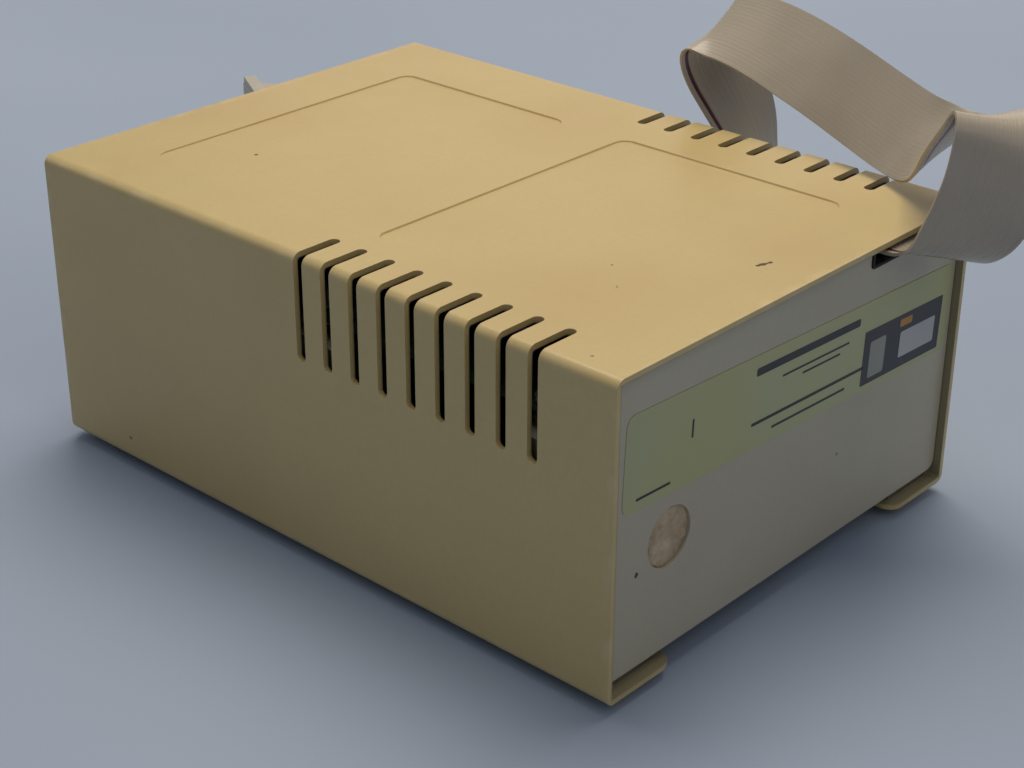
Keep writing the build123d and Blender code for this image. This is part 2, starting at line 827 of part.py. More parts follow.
hub_bottom = housing_top + seat_clearance
with BuildPart() as spindle_hub:
    with BuildSketch(Plane.XY.offset(hub_bottom)):
        with Locations(spindle_at):
            Circle(hub_stem_diameter / 2)
    extrude(amount=disk_seat_height - hub_bottom)
    with BuildSketch(Plane.XY.offset(disk_seat_height - hub_flange_thickness)):
        with Locations(spindle_at):
            Circle(hub_diameter / 2)
    extrude(amount=hub_flange_thickness)
    with BuildSketch(Plane.XY.offset(disk_seat_height)):
        with Locations(spindle_at):
            Circle(hub_cup_diameter / 2)
    with BuildSketch(Plane.XY.offset(shaft_top)):
        with Locations(spindle_at):
            Circle(hub_cup_floor / 2)
    loft(mode=Mode.SUBTRACT)
    with BuildSketch(Plane.XY.offset(hub_bottom)):
        with Locations(spindle_at):
            Circle(shaft_diameter / 2)
    extrude(amount=shaft_top - hub_bottom, mode=Mode.SUBTRACT)
save(spindle_hub, "spindle_hub")

with BuildPart() as flywheel_pulley:
    with BuildSketch(Plane.XY.offset(flywheel_bottom)):
        with Locations(spindle_at):
            Circle(flywheel_diameter / 2)
    extrude(amount=flywheel_height)
    with BuildSketch(Plane.XY.offset(flywheel_bottom + track_bottom)):
        with Locations(spindle_at):
            Circle(flywheel_diameter / 2)
            Circle(belt_track_diameter / 2, mode=Mode.SUBTRACT)
    extrude(amount=track_width, mode=Mode.SUBTRACT)
    with BuildSketch(Plane.XY.offset(flywheel_bottom + flywheel_web)):
        with Locations(spindle_at):
            Circle(belt_track_diameter / 2 - flywheel_rim)
    extrude(amount=flywheel_height - flywheel_web, mode=Mode.SUBTRACT)
    with BuildSketch(Plane.XY.offset(flywheel_bottom)):
        with Locations(spindle_at):
            Circle(flywheel_hub_diameter / 2)
    extrude(amount=flywheel_hub_height)
    with BuildSketch(Plane.XY.offset(flywheel_bottom)):
        with Locations(spindle_at):
            Circle(shaft_diameter / 2)
    extrude(amount=flywheel_hub_height, mode=Mode.SUBTRACT)
save(flywheel_pulley, "flywheel_pulley")

with BuildPart() as strobe_disc:
    with BuildSketch(Plane.XY.offset(flywheel_bottom)):
        with Locations(spindle_at):
            Circle(strobe_diameter / 2)
            Circle(strobe_bore / 2, mode=Mode.SUBTRACT)
    extrude(amount=-strobe_thickness)
save(strobe_disc, "strobe_disc")

# Spindle motor on the deck, with its shaft and pulley below and the flat belt
pulley_middle = flywheel_bottom + track_bottom + track_width / 2
pulley_bottom = pulley_middle - motor_pulley_height / 2
with BuildPart() as spindle_motor:
    with BuildSketch(Plane.XY.offset(deck_top)):
        with Locations(motor_at):
            Circle(motor_diameter / 2)
    extrude(amount=motor_height)
    fillet(spindle_motor.edges().sort_by(Axis.Z)[-1], radius=motor_edge)
    bore_depth = pulley_bottom + motor_shaft_length + shaft_end_gap - deck_top
    with BuildSketch(Plane.XY.offset(deck_top)):
        with Locations(motor_at):
            Circle(motor_shaft_diameter / 2 + running_clearance)
    extrude(amount=bore_depth, mode=Mode.SUBTRACT)
    with BuildSketch(Plane.XY.offset(deck_top)):
        with Locations(*motor_screw_at):
            Circle(screw_diameter / 2 + screw_clearance)
    extrude(amount=motor_screw_bore, mode=Mode.SUBTRACT)
save(spindle_motor, "spindle_motor")

with BuildPart() as motor_shaft:
    with BuildSketch(Plane.XY.offset(pulley_bottom)):
        with Locations(motor_at):
            Circle(motor_shaft_diameter / 2)
    extrude(amount=motor_shaft_length)
save(motor_shaft, "motor_shaft")

with BuildPart() as motor_pulley:
    with BuildSketch(Plane.XY.offset(pulley_bottom)):
        with Locations(motor_at):
            Circle(motor_pulley_flange / 2)
    extrude(amount=motor_pulley_height)
    with BuildSketch(Plane.XY.offset(pulley_middle - track_width / 2)):
        with Locations(motor_at):
            Circle(motor_pulley_flange / 2)
            Circle(motor_pulley_diameter / 2, mode=Mode.SUBTRACT)
    extrude(amount=track_width, mode=Mode.SUBTRACT)
    with BuildSketch(Plane.XY.offset(pulley_bottom)):
        with Locations(motor_at):
            Circle(motor_shaft_diameter / 2)
    extrude(amount=motor_pulley_height, mode=Mode.SUBTRACT)
save(motor_pulley, "motor_pulley")


with BuildPart() as drive_belt:
    for reach, how in ((belt_gap + belt_thickness, Mode.ADD), (belt_gap, Mode.SUBTRACT)):
        with BuildSketch(Plane.XY.offset(pulley_middle - belt_width / 2)):
            with BuildLine():
                CenterArc(spindle_at, belt_track_diameter / 2 + reach, 0, 360)
                CenterArc(motor_at, motor_pulley_diameter / 2 + reach, 0, 360)
            make_hull()
        extrude(amount=belt_width, mode=how)
save(drive_belt, "drive_belt")

with BuildPart() as motor_screws:
    with BuildSketch(Plane.XY.offset(deck_height)):
        with Locations(*motor_screw_at):
            Circle(screw_head_diameter / 2)
    extrude(amount=-screw_head_height)
    with BuildSketch(Plane.XY.offset(deck_height)):
        with Locations(*motor_screw_at):
            Circle(screw_diameter / 2)
    extrude(amount=deck_thickness + motor_screw_reach)
save(motor_screws, "motor_screws")

# Stepper motor under the deck, and the cam with its spiral groove above it
stepper_face = deck_height - stepper_flange
with BuildPart() as stepper_motor:
    with BuildSketch(Plane.XY.offset(stepper_face)):
        with Locations(stepper_at):
            Circle(stepper_diameter / 2)
            SlotCenterToCenter(stepper_ear_spacing, stepper_ear_width)
        with Locations(*stepper_ears):
            Circle(screw_diameter / 2 + screw_clearance, mode=Mode.SUBTRACT)
    extrude(amount=stepper_flange)
    with BuildSketch(Plane.XY.offset(stepper_face)):
        with Locations(stepper_at):
            Circle(stepper_diameter / 2)
    extrude(amount=-stepper_height)
    with BuildSketch(Plane.XY.offset(deck_height)):
        with Locations(stepper_at):
            Circle(stepper_shaft_diameter / 2 + running_clearance)
    extrude(amount=-stepper_height / 2, mode=Mode.SUBTRACT)
save(stepper_motor, "stepper_motor")

with BuildPart() as stepper_screws:
    with BuildSketch(Plane.XY.offset(stepper_face)):
        with Locations(*stepper_ears):
            Circle(screw_head_diameter / 2)
    extrude(amount=-screw_head_height)
    with BuildSketch(Plane.XY.offset(stepper_face)):
        with Locations(*stepper_ears):
            Circle(screw_diameter / 2)
    extrude(amount=stepper_flange + deck_thickness - stepper_screw_short)
save(stepper_screws, "stepper_screws")

stepper_shaft_bottom = deck_height - stepper_height / 2 + shaft_end_gap
with BuildPart() as stepper_shaft:
    with BuildSketch(Plane.XY.offset(stepper_shaft_bottom)):
        with Locations(stepper_at):
            Circle(stepper_shaft_diameter / 2)
    extrude(amount=cam_top - stepper_shaft_bottom)
save(stepper_shaft, "stepper_shaft")


def groove_edge(offset):
    """Points along one edge of the groove, clockwise from the front as the radius grows."""
    points = []
    steps = 24
    for step in range(steps + 1):
        turn = -groove_overrun + step * (cam_turn + 2 * groove_overrun) / steps
        radius = cam_inner_radius + head_travel * turn / cam_turn + offset
        angle = math.radians(-90 - turn)
        points.append((radius * math.cos(angle), stepper_y + radius * math.sin(angle)))
    return points


with BuildPart() as spiral_cam:
    with BuildSketch(Plane.XY.offset(cam_bottom)):
        with Locations(stepper_at):
            Circle(cam_radius)
            Circle(stepper_shaft_diameter / 2, mode=Mode.SUBTRACT)
    extrude(amount=cam_thickness)
    with BuildSketch(Plane.XY.offset(cam_top)):
        with BuildLine():
            inner_edge = Spline(*groove_edge(-groove_width / 2))
            outer_edge = Spline(*groove_edge(groove_width / 2))
            Line(inner_edge @ 0, outer_edge @ 0)
            Line(inner_edge @ 1, outer_edge @ 1)
        make_face()
    extrude(amount=-groove_depth, mode=Mode.SUBTRACT)
save(spiral_cam, "spiral_cam")

# Guide rods, and the head carriage that slides on them
with BuildPart() as guide_rods:
    with BuildSketch(facing_front(rod_start)):
        with Locations((-rod_x, rod_height), (rod_x, rod_height)):
            Circle(rod_diameter / 2)
    extrude(amount=-rod_length)
save(guide_rods, "guide_rods")

post_side = pad_post_gap / 2 + pad_post_width / 2
pad_post_top = pad_pivot_height + pad_barrel_diameter / 2 + pad_post_head
with BuildPart() as head_carriage:
    with BuildSketch(Plane.XY.offset(carriage_bottom)):
        with Locations((0, carriage_start)):
            Rectangle(carriage_width, carriage_length, align=(Align.CENTER, Align.MIN))
    extrude(amount=carriage_height)
    with BuildSketch(Plane.XY.offset(carriage_top)):
        with Locations((0, carriage_start + nose_width / 4)):
            Rectangle(nose_width, nose_length + nose_width / 4, align=(Align.CENTER, Align.MAX))
    extrude(amount=-nose_height)
    with BuildSketch(Plane.XY.offset(carriage_top)):
        with Locations((-post_side, pad_pivot_y), (post_side, pad_pivot_y)):
            Rectangle(pad_post_width, pad_post_length)
    extrude(amount=pad_post_top - carriage_top)
    with BuildSketch(facing_front(carriage_start)):
        with Locations((-rod_x, rod_height), (rod_x, rod_height)):
            Circle(rod_diameter / 2 + rod_clearance)
    extrude(amount=-carriage_length, mode=Mode.SUBTRACT)
    with BuildSketch(Plane.YZ.offset(-post_side - pad_post_width / 2)):
        with Locations((pad_pivot_y, pad_pivot_height)):
            Circle(pad_pin_diameter / 2)
    extrude(amount=2 * post_side + pad_post_width, mode=Mode.SUBTRACT)
save(head_carriage, "head_carriage")

with BuildPart() as pad_arm_pin:
    with BuildSketch(Plane.YZ.offset(-post_side - pad_post_width / 2)):
        with Locations((pad_pivot_y, pad_pivot_height)):
            Circle(pad_pin_diameter / 2)
    extrude(amount=2 * post_side + pad_post_width)
save(pad_arm_pin, "pad_arm_pin")

head_top = disk_seat_height - head_gap
with BuildPart() as read_write_head:
    with BuildSketch(Plane.XY.offset(carriage_top)):
        with Locations((0, head_y)):
            Rectangle(head_width, head_width)
    extrude(amount=head_block_height)
    with BuildSketch(Plane.XY.offset(carriage_top + head_block_height)):
        with Locations((0, head_y)):
            Circle(head_button_diameter / 2)
    extrude(amount=head_top - carriage_top - head_block_height)
save(read_write_head, "read_write_head")

follower_bottom = cam_top - groove_depth + seat_clearance
with BuildPart() as cam_follower:
    with BuildSketch(Plane.XY.offset(follower_bottom)):
        with Locations((0, follower_y)):
            Circle(follower_diameter / 2)
    extrude(amount=carriage_bottom - follower_bottom)
    fillet(cam_follower.edges().sort_by(Axis.Z)[0], radius=follower_diameter / 3)
save(cam_follower, "cam_follower")

# Pressure pad arm above the disk, with its felt pad
pad_arm_low = pad_pivot_height - pad_arm_thickness / 2
pad_bottom = disk_seat_height + seat_clearance
with BuildPart() as pressure_pad_arm:
    with BuildSketch(Plane.XY.offset(pad_arm_low)):
        with Locations((0, pad_pivot_y)):
            arm_reach = pad_pivot_y - head_y + pad_arm_tip
            Rectangle(pad_arm_width, arm_reach, align=(Align.CENTER, Align.MAX))
    extrude(amount=pad_arm_thickness)
    with BuildSketch(Plane.YZ.offset(-pad_post_gap / 2 + seat_clearance)):
        with Locations((pad_pivot_y, pad_pivot_height)):
            Circle(pad_barrel_diameter / 2)
    extrude(amount=pad_post_gap - 2 * seat_clearance)
    with BuildSketch(Plane.YZ.offset(-pad_post_gap / 2)):
        with Locations((pad_pivot_y, pad_pivot_height)):
            Circle(pad_pin_diameter / 2 + running_clearance)
    extrude(amount=pad_post_gap, mode=Mode.SUBTRACT)
    with BuildSketch(Plane.XY.offset(pad_bottom + pad_thickness)):
        with Locations((0, head_y)):
            Circle(pad_cup_diameter / 2)
    extrude(amount=pad_arm_low - pad_bottom - pad_thickness)
save(pressure_pad_arm, "pressure_pad_arm")

with BuildPart() as pressure_pad:
    with BuildSketch(Plane.XY.offset(pad_bottom)):
        with Locations((0, head_y)):
            Circle(pad_diameter / 2)
    extrude(amount=pad_thickness)
save(pressure_pad, "pressure_pad")

# Clamp arm across the disk bay, its pin between the walls, and the centring cone
with BuildPart() as clamp_arm_pin:
    with BuildSketch(Plane.YZ.offset(-chassis_width / 2)):
        with Locations((clamp_pivot_y, clamp_pivot_height)):
            Circle(clamp_pin_diameter / 2)
    extrude(amount=chassis_width)
save(clamp_arm_pin, "clamp_arm_pin")

barrel_half = clamp_arm_width / 2 + clamp_barrel_overhang
with BuildPart() as clamp_arm:
    with BuildSketch(Plane.XY.offset(clamp_arm_height)):
        with Locations((0, clamp_arm_front)):
            arm_length = clamp_pivot_y - clamp_arm_front
            Rectangle(clamp_arm_width, arm_length, align=(Align.CENTER, Align.MIN))
    extrude(amount=clamp_arm_sheet)
    for side in (-1, 1):
        with BuildSketch(Plane.YZ.offset(side * clamp_arm_width / 2)):
            with Locations((clamp_arm_front, clamp_arm_height)):
                Rectangle(arm_length, clamp_rib, align=(Align.MIN, Align.MIN))
        extrude(amount=-side * clamp_rib_sheet)
    with BuildSketch(Plane.XY.offset(clamp_arm_height)):
        with Locations(spindle_at):
            Circle(cone_boss_diameter / 2)
    extrude(amount=-cone_boss_depth)
    with BuildSketch(Plane.XY.offset(clamp_arm_height - cone_boss_depth)):
        with Locations(spindle_at):
            Circle(cone_stem_diameter / 2 + running_clearance)
    extrude(amount=cone_boss_depth + clamp_arm_sheet, mode=Mode.SUBTRACT)
    with BuildSketch(Plane.YZ.offset(-barrel_half)):
        with Locations((clamp_pivot_y, clamp_pivot_height)):
            Circle(clamp_barrel_diameter / 2)
    extrude(amount=2 * barrel_half)
    with BuildSketch(Plane.YZ.offset(-barrel_half)):
        with Locations((clamp_pivot_y, clamp_pivot_height)):
            Circle(clamp_pin_diameter / 2 + running_clearance)
    extrude(amount=2 * barrel_half, mode=Mode.SUBTRACT)
save(clamp_arm, "clamp_arm")

cone_bottom = shaft_top + seat_clearance
cone_rim = disk_seat_height + seat_clearance
retainer_bottom = clamp_arm_height + clamp_arm_sheet + seat_clearance
cone_top = retainer_bottom + cone_retainer_thickness + cone_tip
with BuildPart() as clamp_cone:
    with BuildSketch(Plane.XY.offset(cone_bottom)):
        with Locations(spindle_at):
            Circle(hub_cup_floor / 2 - seat_clearance)
    with BuildSketch(Plane.XY.offset(cone_rim)):
        with Locations(spindle_at):
            Circle(hub_cup_diameter / 2 - seat_clearance)
    loft()
    with BuildSketch(Plane.XY.offset(cone_rim)):
        with Locations(spindle_at):
            Circle(cone_flange_diameter / 2)
    extrude(amount=cone_flange_thickness)
    with BuildSketch(Plane.XY.offset(cone_rim)):
        with Locations(spindle_at):
            Circle(cone_stem_diameter / 2)
    extrude(amount=cone_top - cone_rim)
save(clamp_cone, "clamp_cone")

with BuildPart() as cone_retainer:
    with BuildSketch(Plane.XY.offset(retainer_bottom)):
        with Locations(spindle_at):
            Circle(cone_retainer_diameter / 2)
            Circle(cone_stem_diameter / 2, mode=Mode.SUBTRACT)
    extrude(amount=cone_retainer_thickness)
save(cone_retainer, "cone_retainer")

# Write-protect switch on the left guide, with its sprung lever
guide_top = slot_height + guide_height / 2
lever_x = -(wall_inner - lever_inset)
lever_pivot_y = switch_y + switch_length / 2 - lever_end_gap
lever_pivot_z = guide_top - lever_pivot_drop
lever_half = lever_lug_width / 2 + lever_side_gap + lever_arm_width
with BuildPart() as write_protect_switch:
    with BuildSketch(Plane.XY.offset(guide_top)):
        with Locations((-wall_inner, switch_y)):
            Rectangle(switch_width, switch_length, align=(Align.MIN, Align.CENTER))
    extrude(amount=switch_height)
    with BuildSketch(Plane.YZ.offset(lever_x - lever_lug_width / 2)):
        with Locations((lever_pivot_y, lever_pivot_z)):
            Circle(lever_lug_radius)
            Rectangle(2 * lever_lug_radius, 2 * lever_lug_radius, align=(Align.CENTER, Align.MIN))
            Circle(lever_pin_diameter / 2 + running_clearance, mode=Mode.SUBTRACT)
    extrude(amount=lever_lug_width)
save(write_protect_switch, "write_protect_switch")

with BuildPart() as write_protect_lever:
    with BuildSketch(Plane.YZ.offset(lever_x - lever_half)):
        with BuildLine():
            Polyline(
                (lever_pivot_y, lever_pivot_z + lever_thickness / 2),
                (lever_pivot_y, lever_pivot_z - lever_thickness / 2),
                (lever_pivot_y - lever_length, lever_pivot_z - lever_drop - lever_thickness / 2),
                (lever_pivot_y - lever_length, lever_pivot_z - lever_drop + lever_thickness / 2),
                close=True,
            )
        make_face()
        with Locations((lever_pivot_y, lever_pivot_z)):
            Circle(lever_pin_diameter / 2)
    extrude(amount=2 * lever_half)
    with BuildSketch(Plane.XY.offset(guide_top)):
        with Locations((lever_x, lever_pivot_y)):
            Rectangle(lever_lug_width + 2 * lever_side_gap, lever_fork_length)
    extrude(amount=-guide_height / 2, mode=Mode.SUBTRACT)
    with BuildSketch(Plane.YZ.offset(lever_x - lever_half)):
        with Locations((lever_pivot_y, lever_pivot_z)):
            Circle(lever_pin_diameter / 2)
    extrude(amount=2 * lever_half)
save(write_protect_lever, "write_protect_lever")

# Analog board over the carriage, on four standoffs
board_corners = [(s * board_screw_x, y) for s in (-1, 1) for y in (front_lug_y, rear_lug_y)]
with BuildPart() as analog_board:
    with BuildSketch(Plane.XY.offset(board_bottom)):
        with Locations((0, board_front)):
            Rectangle(board_width, board_length, align=(Align.CENTER, Align.MIN))
        with Locations(*board_corners):
            Circle(screw_diameter / 2 + screw_clearance, mode=Mode.SUBTRACT)
    extrude(amount=board_sheet)
save(analog_board, "analog_board")

with BuildPart() as board_standoffs:
    with BuildSketch(Plane.XY.offset(lug_height)):
        with Locations(*board_corners):
            RegularPolygon(standoff_across / 2, 6, major_radius=False)
            Circle(screw_diameter / 2 + screw_clearance, mode=Mode.SUBTRACT)
    extrude(amount=standoff_height)
save(board_standoffs, "board_standoffs")

with BuildPart() as board_screws:
    with BuildSketch(Plane.XY.offset(board_top)):
        with Locations(*board_corners):
            Circle(screw_head_diameter / 2)
    extrude(amount=screw_head_height)
    with BuildSketch(Plane.XY.offset(board_top)):
        with Locations(*board_corners):
            Circle(screw_diameter / 2)
    extrude(amount=-(board_sheet + standoff_height + lug_depth / 2))
save(board_screws, "board_screws")

with BuildPart() as board_chips:
    with BuildSketch(Plane.XY.offset(board_top)):
        with Locations((chips_x, board_parts_y)):
            with GridLocations(chip_pitch_x, chip_pitch_y, chip_columns, chip_rows):
                Rectangle(chip_length, chip_width)
    extrude(amount=chip_height)
save(board_chips, "board_chips")

with BuildPart() as board_capacitors:
    with BuildSketch(Plane.XY.offset(board_top)):
        with Locations((capacitors_x, board_parts_y)):
            with GridLocations(capacitor_pitch, capacitor_pitch, 1, capacitor_count):
                Circle(capacitor_diameter / 2)
    extrude(amount=capacitor_height)
save(board_capacitors, "board_capacitors")

header_y = board_front + board_length - header_rear_gap - header_width / 2
with BuildPart() as board_header:
    with BuildSketch(Plane.XY.offset(board_top)):
        with Locations((ribbon_x, header_y)):
            Rectangle(header_length, header_width)
    extrude(amount=header_height)
    with BuildSketch(Plane.XY.offset(board_top + header_wall)):
        with Locations((ribbon_x, header_y)):
            Rectangle(header_length - 2 * header_wall, header_width - 2 * header_wall)
    extrude(amount=header_height, mode=Mode.SUBTRACT)
save(board_header, "board_header")

with BuildPart() as board_socket:
    with BuildSketch(Plane.XY.offset(board_top + header_wall + seat_clearance)):
        with Locations((ribbon_x, header_y)):
            Rectangle(socket_length, socket_width)
    extrude(amount=socket_height)
save(board_socket, "board_socket")

# Motor speed board behind the sealed hole, with its adjuster
with BuildPart() as motor_speed_board:
    with BuildSketch(facing_front(speed_board_y + board_sheet)):
        with Locations((speed_board_x, deck_top)):
            Rectangle(speed_board_width, speed_board_height, align=(Align.CENTER, Align.MIN))
    extrude(amount=board_sheet)
save(motor_speed_board, "motor_speed_board")

trimmer_back = speed_board_y + board_sheet
trimmer_front = trimmer_back + trimmer_depth
with BuildPart() as speed_trimmer:
    with BuildSketch(facing_front(trimmer_front)):
        with Locations((trim_hole_x, trimmer_height)):
            Rectangle(trimmer_size, trimmer_size)
    extrude(amount=trimmer_depth)
    with BuildSketch(facing_front(trimmer_front)):
        with Locations((trim_hole_x, trimmer_height)):
            Circle(trimmer_rotor_diameter / 2 + running_clearance)
    extrude(amount=trimmer_depth / 2, mode=Mode.SUBTRACT)
save(speed_trimmer, "speed_trimmer")

with BuildPart() as trimmer_rotor:
    rotor_end = trimmer_front + trimmer_rotor_reach
    with BuildSketch(facing_front(rotor_end)):
        with Locations((trim_hole_x, trimmer_height)):
            Circle(trimmer_rotor_diameter / 2)
    extrude(amount=trimmer_rotor_reach + trimmer_depth / 2 - seat_clearance)
    with BuildSketch(facing_front(rotor_end)):
        with Locations((trim_hole_x, trimmer_height)):
            Rectangle(trimmer_rotor_diameter + 1, trimmer_slot)
    extrude(amount=trimmer_slot, mode=Mode.SUBTRACT)
save(trimmer_rotor, "trimmer_rotor")


# Flat cable: a thin strip along straight runs joined by tangent arcs, turning about its route
def ribbon_planes(points, sides, name):
    """Planes across the strip, X along its width, from its route and its width's directions."""
    points = [Vector(*p) for p in points]
    sides = [Vector(*s).normalized() for s in sides]
    runs = [(b - a).length for a, b in zip(points, points[1:])]
    radii = []
    setbacks = [0.0]
    arcs = [0.0]
    for number in range(1, len(points) - 1):
        before = points[number] - points[number - 1]
        after = points[number + 1] - points[number]
        turn = math.radians(before.get_angle(after))
        setbacks.append(0.45 * min(runs[number - 1], runs[number]))
        radii.append(setbacks[-1] / math.tan(turn / 2))
        arcs.append(radii[-1] * turn)
    setbacks.append(0.0)
    arcs.append(0.0)
    with BuildLine() as path:
        FilletPolyline(*points, radius=radii)
    wire = path.wire()
    stations = []
    length = 0.0
    for number, run in enumerate(runs):
        start = number + setbacks[number] / run
        end = number + 1 - setbacks[number + 1] / run
        stations.append((length, start))
        length += run - setbacks[number] - setbacks[number + 1]
        stations.append((length, end))
        if number + 1 < len(runs):
            next_start = number + 1 + setbacks[number + 1] / runs[number + 1]
            steps = 4
            for step in range(1, steps):
                share = step / steps
                place = end + (next_start - end) * share
                stations.append((length + arcs[number + 1] * share, place))
            length += arcs[number + 1]
    planes = []
    for station, place in stations:
        tangent = wire.tangent_at(min(station / length, 1.0))
        index = min(int(place), len(sides) - 2)
        share = place - index
        side = sides[index] * (1 - share) + sides[index + 1] * share
        side = (side - tangent * side.dot(tangent)).normalized()
        origin = wire.position_at(min(station / length, 1.0))
        planes.append(Plane(origin=origin, x_dir=side, z_dir=tangent))
    print(name, "length", round(wire.length, 1), "by sum", round(length, 1))
    print(name, "radii", [round(r, 1) for r in radii])
    return planes, wire.length


def strip_volume(piece, length, name):
    """Print the strip's volume beside its section times its length."""
    wanted = ribbon_width * ribbon_thickness * length
    print(name, "volume", round(piece.part.volume, 1), "section x length", round(wanted, 1))


# Short held stretch from the board's socket to the notch
socket_face = header_y + socket_width / 2
inner_low = board_top + header_wall + seat_clearance + socket_height - socket_ribbon_drop
inner_rise = (panel_face - socket_face) / 4
inner_points = (
    (ribbon_x, socket_face, inner_low),
    (ribbon_x, socket_face + inner_rise, inner_low),
    (ribbon_x, panel_face - 1.5 * inner_rise, ribbon_height),
    ribbon_exit,
)
inner_planes, inner_length = ribbon_planes(inner_points, [(1, 0, 0)] * 4, "ribbon_inner")
with BuildPart() as ribbon_inner:
    for plane in inner_planes:
        with BuildSketch(plane):
            Rectangle(ribbon_width, ribbon_thickness)
    loft(ruled=True)
strip_volume(ribbon_inner, inner_length, "ribbon_inner")
save(ribbon_inner, "ribbon_inner")

# Plug at the free end, standing on the table beyond the case
plug_along = (math.cos(math.radians(plug_angle)), math.sin(math.radians(plug_angle)))
plug_travel = (plug_along[1], -plug_along[0])
plug_entry = (
    plug_x - plug_travel[0] * plug_width / 2,
    plug_y - plug_travel[1] * plug_width / 2,
    plug_ribbon_height,
)
plug_approach = (
    plug_entry[0] - plug_travel[0] * plug_last_run,
    plug_entry[1] - plug_travel[1] * plug_last_run,
    plug_ribbon_height,
)


def by_notch(x, y, z):
    """Place counted from where the cable leaves its notch."""
    return (ribbon_exit[0] + x, ribbon_exit[1] + y, ribbon_exit[2] + z)


def by_case(x, y, height):
    """Place beside the case, counted from the notch but at a height above the table."""
    return (ribbon_exit[0] + x, ribbon_exit[1] + y, height)


# Route of the free cable: each point's place, then the way its first wire's edge lies
route = (
    (ribbon_exit, (1.0, 0.0, 0.0)),
    (by_notch(0.0, 7.2, 0.0), (1.0, 0.0, 0.0)),
    (by_notch(2.5, 13.7, -2.3), (0.89, -0.22, 0.40)),
    (by_notch(3.7, 21.7, 9.1), (0.62, -0.62, 0.48)),
    (by_notch(4.7, 26.7, 23.1), (0.57, -0.72, 0.40)),
    (by_notch(1.4, 25.7, 37.7), (0.68, -0.69, 0.25)),
    (by_notch(-7.3, 18.2, 36.6), (0.82, -0.57, -0.04)),
    (by_notch(-16.3, 6.2, 27.1), (0.83, -0.47, -0.30)),
    (by_notch(-23.8, -3.8, 18.1), (0.75, -0.37, -0.55)),
    (by_notch(-28.8, -15.8, 15.1), (0.55, -0.14, -0.82)),
    (by_notch(-33.3, -31.8, 18.3), (0.54, -0.07, -0.84)),
    (by_notch(-38.8, -54.8, 23.9), (0.58, -0.06, -0.81)),
    (by_notch(-44.8, -80.3, 28.3), (0.68, -0.09, -0.73)),
    (by_notch(-45.3, -98.8, 29.6), (0.79, -0.17, -0.59)),
    (by_notch(-46.8, -101.8, 19.1), (0.88, -0.18, -0.43)),
    (by_notch(-46.8, -88.8, 3.1), (0.96, 0.03, -0.28)),
    (by_notch(-46.3, -78.8, -18.9), (0.98, 0.05, -0.05)),
    (by_case(-47.3, -75.8, 45.0), (0.99, 0.03, 0.0)),
    (by_case(-49.3, -79.8, 22.0), (0.98, -0.12, 0.0)),
    (by_case(-54.3, -95.8, 4.5), (0.96, -0.26, 0.0)),
    ((-106.5, -10.5, 0.9), (0.96, -0.28, 0.0)),
    ((-113.5, -34.5, 1.2), (0.96, -0.28, 0.02)),
    ((-121.5, -60.5, 10.0), (0.70, -0.20, 0.68)),
    ((-131.0, -88.5, 13.5), (0.03, 0.0, 1.0)),
    ((-148.0, -115.5, 13.4), (0.0, 0.0, 1.0)),
    ((-172.0, -136.5, 13.4), (0.0, 0.0, 1.0)),
    ((-197.0, -156.5, 13.4), (0.0, 0.0, 1.0)),
    ((-216.0, -182.5, 13.4), (0.0, 0.0, 1.0)),
    ((-224.0, -212.5, 13.4), (0.0, 0.0, 1.0)),
    ((-220.0, -240.5, 13.4), (0.03, 0.05, 1.0)),
    ((-207.0, -264.5, 11.6), (0.36, 0.47, 0.80)),
    (plug_approach, (0.49, 0.83, 0.27)),
    (plug_entry, (plug_along[0], plug_along[1], 0.0)),
)
route_points = [point for point, side in route]
route_sides = [side for point, side in route]
ribbon_cable_planes, ribbon_length = ribbon_planes(route_points, route_sides, "ribbon_cable")
with BuildPart() as ribbon_cable:
    for plane in ribbon_cable_planes:
        with BuildSketch(plane):
            Rectangle(ribbon_width, ribbon_thickness)
    loft(ruled=True)
strip_volume(ribbon_cable, ribbon_length, "ribbon_cable")
print("ribbon_cable lowest", round(ribbon_cable.part.bounding_box().min.Z, 2))
save(ribbon_cable, "ribbon_cable")

plug_place = Location((plug_x, plug_y), plug_angle)
with BuildPart() as cable_connector:
    with BuildSketch():
        with Locations(plug_place):
            Rectangle(plug_length, plug_width)
    extrude(amount=plug_body_height)
    with BuildSketch():
        with Locations(plug_place):
            with Locations((0, -plug_width / 2)):
                Rectangle(plug_key_width, 2 * plug_key_depth)
    extrude(amount=plug_body_height - plug_key_drop)
save(cable_connector, "cable_connector")

with BuildPart() as connector_cap:
    with BuildSketch(Plane.XY.offset(plug_body_height)):
        with Locations(plug_place):
            Rectangle(plug_length - 2 * plug_cap_inset, plug_width - 2 * plug_cap_inset)
    extrude(amount=plug_cap_height)
    with BuildSketch(Plane.XY.offset(plug_body_height + plug_cap_height)):
        with Locations(plug_place):
            with Locations((plug_length / 2 - plug_pocket_length, 0)):
                Rectangle(plug_pocket_length, plug_width / 2)
    extrude(amount=-plug_pocket_depth, mode=Mode.SUBTRACT)
save(connector_cap, "connector_cap")
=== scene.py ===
import json
import math

import bpy
from bpy.props import FloatProperty, FloatVectorProperty, IntProperty, PointerProperty
from mathutils import Matrix, Vector


